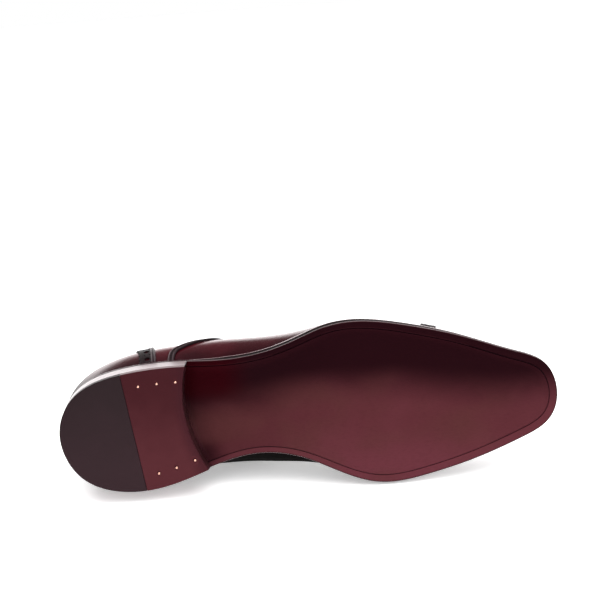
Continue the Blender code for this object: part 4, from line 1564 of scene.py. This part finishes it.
def make_lace():
    """The waxed lace as a round braid, through the eyelets and over the facings."""
    route = lace_route()
    lengths = [math.dist(a, b) for a, b in zip(route, route[1:])]
    places = np.concatenate([[0.0], np.cumsum(lengths)])
    smooth = Curve(places, route, closed=False)
    length = places[-1]
    steps = round(length / LACE_STEP)
    points = [smooth.at(length * step / steps) for step in range(steps + 1)]
    sides, ups = [], []
    side = np.array([0.0, 1.0, 0.0])
    for step in range(steps + 1):
        ahead = points[min(step + 1, steps)] - points[max(step - 1, 0)]
        up = cross(ahead, side)
        up /= np.linalg.norm(up)
        side = cross(up, ahead)
        side /= np.linalg.norm(side)
        sides.append(side)
        ups.append(up)

    def shape(s, t):
        step = round(s * steps)
        angle = 2.0 * math.pi * t
        out = math.cos(angle) * sides[step] + math.sin(angle) * ups[step]
        return points[step] + LACE_RADIUS * out

    mesh = bmesh.new()
    mapped_grid(mesh, steps, 14, shape, (length, 2.0 * math.pi))
    close_seams(mesh)
    bmesh.ops.holes_fill(mesh, edges=mesh.edges)
    finish_piece("waxed_lace", mesh, ["lace"], ["lace"])


# ---------------------------------------------------------------- stitching

def make_welt_stitches(sizes):
    sew("welt_stitches", [welt_stitch_path()], "welt_thread",
        sizes.welt_pitch / MM, WELT_THREAD)


def make_upper_stitches(sizes):
    for name, paths in (("upper_stitches", upper_seams()), ("tongue_stitches", tongue_seams())):
        sew(name, paths, "upper_thread", sizes.stitch_pitch / MM, UPPER_THREAD)


def make_band_stitches(sizes):
    above = sizes.band_thick / MM + 0.3 * GAP
    paths = [toe_band().path(offset, above) for offset in TOE_BAND_STITCHES]
    for row in SIDES:
        paths += [heel_band(row).path(row.side * offset, above) for offset in HEEL_BAND_STITCHES]
    paths += [quarter_trim(row).path(0.0, above) for row in SIDES]
    sew("band_stitches", paths, "upper_thread", sizes.stitch_pitch / MM,
        UPPER_THREAD)


# ---------------------------------------------------------------- stage

def soft_light(name, place, aim, size, power, is_reflected=True):
    """A softbox that faces a point, all in metres."""
    data = bpy.data.lights.new(name, "AREA")
    data.shape = "RECTANGLE"
    data.size, data.size_y = size
    data.energy = power
    light = bpy.data.objects.new(name, data)
    light.location = place
    light.rotation_euler = (Vector(aim) - Vector(place)).to_track_quat("-Z", "Y").to_euler()
    light.visible_glossy = is_reflected
    bpy.context.collection.objects.link(light)


def make_floor(stage):
    mesh = bmesh.new()
    bmesh.ops.create_grid(mesh, x_segments=8, y_segments=8, size=stage.floor_size / 2.0)
    data = bpy.data.meshes.new("studio_floor")
    mesh.to_mesh(data)
    mesh.free()
    data.materials.append(finish_of("floor"))
    floor = bpy.data.objects.new("studio_floor", data)
    bpy.context.collection.objects.link(floor)


def make_surroundings(stage):
    """A white studio seen directly; dark before the shoe and bright behind it as light."""
    world = bpy.data.worlds.new("studio")
    bpy.context.scene.world = world
    world.use_nodes = True
    tree = world.node_tree
    tree.nodes.clear()
    direction = add_node(tree, "ShaderNodeTexCoord", {}).outputs["Generated"]
    parts = add_node(tree, "ShaderNodeSeparateXYZ", {0: direction}).outputs

    def fade(axis, start, end, first, last):
        inputs = dict(enumerate((parts[axis], start, end, first, last)))
        return add_node(tree, "ShaderNodeMapRange", inputs,
                        interpolation_type="SMOOTHSTEP").outputs[0]

    behind = fade("Y", -0.35, 0.6, 0.0, stage.back_light)
    aside = fade("Z", 0.55, 0.25, stage.zenith_share, 1.0)
    light = add_node(tree, "ShaderNodeMath", {0: behind, 1: aside, 2: stage.front_light},
                     operation="MULTIPLY_ADD").outputs[0]
    is_seen = add_node(tree, "ShaderNodeLightPath", {}).outputs["Is Camera Ray"]
    strength = add_node(tree, "ShaderNodeMix", {0: is_seen, 2: light, 3: 1.0}).outputs[0]
    sky = add_node(tree, "ShaderNodeBackground",
                   {"Color": (1.0, 1.0, 1.0, 1.0), "Strength": strength}).outputs[0]
    add_node(tree, "ShaderNodeOutputWorld", {"Surface": sky})


def make_camera(stage):
    """A camera that looks along the shoe's heel-to-toe line at its sole, from above the floor."""
    tilt, roll = stage.camera_tilt, stage.camera_roll
    look = Vector((0.0, math.sin(tilt), math.cos(tilt)))
    right = Vector((1.0, 0.0, 0.0))
    down = look.cross(right)
    rolled = Matrix((
        math.cos(roll) * right + math.sin(roll) * down,
        math.cos(roll) * down - math.sin(roll) * right,
        look,
    ))
    shown_at = Vector((math.tan(stage.aim_right), math.tan(stage.aim_down), 1.0))
    seen = Vector((0.0, 0.0, 1.0)).rotation_difference(shown_at).to_matrix() @ rolled
    axes = Matrix((seen[0], -seen[1], -seen[2])).transposed()
    aim = Vector(CAMERA_AIM)
    eye = aim - stage.camera_distance / MM * look
    turn = LAY.to_quaternion().to_matrix()
    data = bpy.data.cameras.new("camera")
    data.sensor_width = 36.0
    data.lens = stage.lens
    camera = bpy.data.objects.new("camera", data)
    bpy.context.collection.objects.link(camera)
    camera.matrix_world = Matrix.LocRotScale(LAY @ eye, (turn @ axes).to_quaternion(), None)
    bpy.context.scene.camera = camera


def make_stage(stage):
    make_floor(stage)
    make_surroundings(stage)
    soft_light("overhead softbox", (0.0, 0.4, 2.0), (0.0, 0.4, 0.0), (3.4, 4.0),
               stage.overhead_power, is_reflected=False)
    soft_light("front softbox", (0.2, -1.5, 1.0), (0.0, 0.0, 0.0), (2.2, 1.2),
               stage.front_power)
    make_camera(stage)
    bpy.context.scene.view_settings.view_transform = "Standard"


# ---------------------------------------------------------------- the add-on

def colour(name, description, value):
    return FloatVectorProperty(name=name, description=description, subtype="COLOR", size=3,
                               min=0.0, max=1.0, default=value)


class OxfordColours(bpy.types.PropertyGroup):
    """Colours of the shoe's leathers, threads and fittings."""

    sole: colour("Sole", "Leather sole along its middle", (0.063, 0.016, 0.02))
    # Also the colour of the painted shade by the heel's front and over the waist.
    sole_dark: colour("Sole, dark", "Leather sole towards its outer side", (0.005, 0.0015, 0.0025))
    # Painted shade on the outer side of the waist by the heel.
    sole_wine_shade: colour("Sole, wine", "Outer side of the waist by the heel", (0.012, 0.0, 0.0008))
    sole_pale: colour("Sole, pale", "Rubbed places and strip by the edge", (0.094, 0.0245, 0.0325))
    sole_brown: colour("Sole, brown", "Browner clouds in the sole", (0.06, 0.021, 0.019))
    burnish: colour("Burnish", "Tint of the sole's shine", (1.0, 0.16, 0.22))
    edge_shine: colour("Edge shine", "Tint of the waxed edges' shine", (1.0, 0.75, 0.78))
    edge: colour("Edges", "Waxed edges of sole, welt and heel", (0.045, 0.012, 0.016))
    heel: colour("Heel", "Stacked leather of the heel", (0.1, 0.022, 0.03))
    top: colour("Top piece", "Leather half of the walking piece", (0.0465, 0.0143, 0.0168))
    top_dark: colour("Top piece, dark", "The same towards the outer side", (0.018, 0.006, 0.0072))
    rubber: colour("Rubber", "Rubber half of the walking piece", (0.021, 0.0085, 0.0113))
    rubber_dark: colour("Rubber, dark", "Darker clouds in the rubber", (0.012, 0.005, 0.0065))
    polish: colour("Polish", "Tint of the calf's shine", (1.0, 0.55, 0.6))
    upper: colour("Upper", "Polished calf", (0.072, 0.0055, 0.01))
    upper_red: colour("Upper, red", "Redder clouds in the calf", (0.08, 0.0075, 0.013))
    # Painted shade by the sole and on the inner side; also the darker toe and heel.
    upper_dark_and_shade: colour("Upper, dark", "Calf darkened by hand", (0.006, 0.001, 0.002))
    lining: colour("Lining", "Lining leather", (0.42, 0.25, 0.14))
    lining_dark: colour("Lining, dark", "Pores and clouds of the lining", (0.3, 0.17, 0.09))
    band: colour("Bands", "Raised strips", (0.014, 0.006, 0.008))
    bead: colour("Beads", "Rubbed beads of the strips", (0.05, 0.03, 0.034))
    welt: colour("Welt", "Leather of the welt", (0.1, 0.03, 0.036))
    brass: colour("Brass", "Heel nails", (0.95, 0.62, 0.46))
    brass_red: colour("Brass, red", "Redder clouds in the nails", (0.62, 0.24, 0.2))
    lace: colour("Lace", "Waxed cotton", (0.03, 0.012, 0.015))
    welt_thread: colour("Welt thread", "Stitches of the welt", (0.12, 0.05, 0.045))
    upper_thread: colour("Upper thread", "Stitches of upper and bands", (0.035, 0.012, 0.015))
    # Also painted as shade: the upper's arch and heel back, the heel's front face and the welt's
    # underside.
    black: colour("Black", "Grooves and shade between strands", (0.002, 0.001, 0.001))
    floor: colour("Floor", "Studio floor", (0.96, 0.96, 0.96))


def length(name, description, value):
    return FloatProperty(name=name, description=description, default=value, min=0.0,
                         unit="LENGTH", precision=5)


def angle(name, description, degrees):
    return FloatProperty(name=name, description=description, default=math.radians(degrees),
                         subtype="ANGLE")


def power(name, description, value):
    return FloatProperty(name=name, description=description, default=value, min=0.0,
                         unit="POWER")


class OxfordSizes(bpy.types.PropertyGroup):
    """Sizes of the fine work on the shoe."""

    channel_depth: length("Channel depth", "Groove over the sole's stitching", 0.00045)
    welt_pitch: length("Welt pitch", "From one welt stitch to the next", 0.0031)
    stitch_pitch: length("Stitch pitch", "From one stitch of the upper to the next", 0.0021)
    band_thick: length("Band thickness", "Height of the raised strips", 0.00115)
    pinking_depth: length("Pinking depth", "Depth of the bands' cut teeth", 0.0013)
    pinking_pitch: length("Pinking pitch", "From one tooth to the next", 0.0032)


class OxfordStage(bpy.types.PropertyGroup):
    """Floor, lights and camera."""

    floor_size: length("Floor", "Side of the studio floor", 5.0)
    floor_glow: FloatProperty(name="Floor glow", description="Light from the lit floor itself",
                              default=0.38, min=0.0)
    overhead_power: power("Overhead", "Softbox above the shoe", 115.0)
    front_power: power("Front", "Softbox above the camera", 25.0)
    front_light: FloatProperty(name="Front light", description="Studio before the shoe",
                               default=0.02, min=0.0)
    back_light: FloatProperty(name="Back light", description="Studio behind the shoe",
                              default=2.4, min=0.0)
    zenith_share: FloatProperty(name="Zenith share", description="Share of it right above",
                                default=0.06, min=0.0)
    camera_distance: length("Distance", "Camera to the middle of the sole", 1.2)
    camera_tilt: angle("Tilt", "Camera off the sole's normal, to the outer side", 8.0)
    camera_roll: angle("Roll", "Rise of the toe in the view", 4.04)
    aim_right: angle("Aim right", "The sole's middle, right of the view's centre", 0.2375)
    aim_down: angle("Aim down", "The sole's middle, below the view's centre", 3.2036)
    lens: FloatProperty(name="Lens", description="Focal length", default=115.78,
                        unit="CAMERA")


class OxfordSettings(bpy.types.PropertyGroup):
    """All settings of the shoe."""

    colours: PointerProperty(type=OxfordColours)
    sizes: PointerProperty(type=OxfordSizes)
    stage: PointerProperty(type=OxfordStage)


class MakeOutsole(bpy.types.Operator):
    """Make the leather outsole with its stitching channel"""

    bl_idname = "oxford.outsole"
    bl_label = "Outsole"

    def execute(self, context):
        make_outsole(context.scene.oxford.sizes)
        return {"FINISHED"}


class MakeWelt(bpy.types.Operator):
    """Make the welt and its stitches"""

    bl_idname = "oxford.welt"
    bl_label = "Welt"

    def execute(self, context):
        make_welt(context.scene.oxford.sizes)
        make_welt_stitches(context.scene.oxford.sizes)
        return {"FINISHED"}


class MakeInsole(bpy.types.Operator):
    """Make the insole under its sock"""

    bl_idname = "oxford.insole"
    bl_label = "Insole"

    def execute(self, context):
        make_insole()
        return {"FINISHED"}


class MakeHeel(bpy.types.Operator):
    """Make the stacked lifts of the heel"""

    bl_idname = "oxford.heel"
    bl_label = "Heel Lifts"

    def execute(self, context):
        make_heel()
        return {"FINISHED"}


class MakeTopPiece(bpy.types.Operator):
    """Make the heel's walking piece of rubber and leather, with its nails"""

    bl_idname = "oxford.top_piece"
    bl_label = "Top Piece"

    def execute(self, context):
        make_top_piece()
        return {"FINISHED"}


class MakeUpper(bpy.types.Operator):
    """Make the lined upper with its eyelets and stitches"""

    bl_idname = "oxford.upper"
    bl_label = "Upper"

    def execute(self, context):
        make_upper()
        make_upper_stitches(context.scene.oxford.sizes)
        return {"FINISHED"}


class MakeBands(bpy.types.Operator):
    """Make the raised strips over toe, heel and quarters, with their stitches"""

    bl_idname = "oxford.bands"
    bl_label = "Raised Bands"

    def execute(self, context):
        make_bands(context.scene.oxford.sizes)
        make_band_stitches(context.scene.oxford.sizes)
        return {"FINISHED"}


class MakeTongue(bpy.types.Operator):
    """Make the tongue"""

    bl_idname = "oxford.tongue"
    bl_label = "Tongue"

    def execute(self, context):
        make_tongue()
        return {"FINISHED"}


class MakeLace(bpy.types.Operator):
    """Make the lace"""

    bl_idname = "oxford.lace"
    bl_label = "Lace"

    def execute(self, context):
        make_lace()
        return {"FINISHED"}


class MakeStage(bpy.types.Operator):
    """Make the floor, the lights and the camera"""

    bl_idname = "oxford.stage"
    bl_label = "Stage"

    def execute(self, context):
        make_stage(context.scene.oxford.stage)
        return {"FINISHED"}


PIECES = (MakeStage, MakeLace, MakeTongue, MakeBands, MakeUpper, MakeTopPiece, MakeHeel,
          MakeInsole, MakeWelt, MakeOutsole)


class OxfordPanel(bpy.types.Panel):
    """Settings and pieces of the shoe"""

    bl_idname = "VIEW3D_PT_oxford"
    bl_label = "Oxford Shoe"
    bl_space_type = "VIEW_3D"
    bl_region_type = "UI"
    bl_category = "Oxford"

    def draw(self, context):
        settings = context.scene.oxford
        for group in (settings.colours, settings.sizes, settings.stage):
            box = self.layout.box()
            for name in group.__annotations__:
                box.prop(group, name)
        for piece in PIECES:
            self.layout.operator(piece.bl_idname)


CLASSES = (OxfordColours, OxfordSizes, OxfordStage, OxfordSettings, *PIECES, OxfordPanel)


def register():
    for item in CLASSES:
        bpy.utils.register_class(item)
    bpy.types.Scene.oxford = PointerProperty(type=OxfordSettings)


def unregister():
    del bpy.types.Scene.oxford
    for item in reversed(CLASSES):
        bpy.utils.unregister_class(item)


def main():
    register()
    for piece in PIECES:
        group, name = piece.bl_idname.split(".")
        getattr(getattr(bpy.ops, group), name)()


if __name__ == "__main__":
    main()
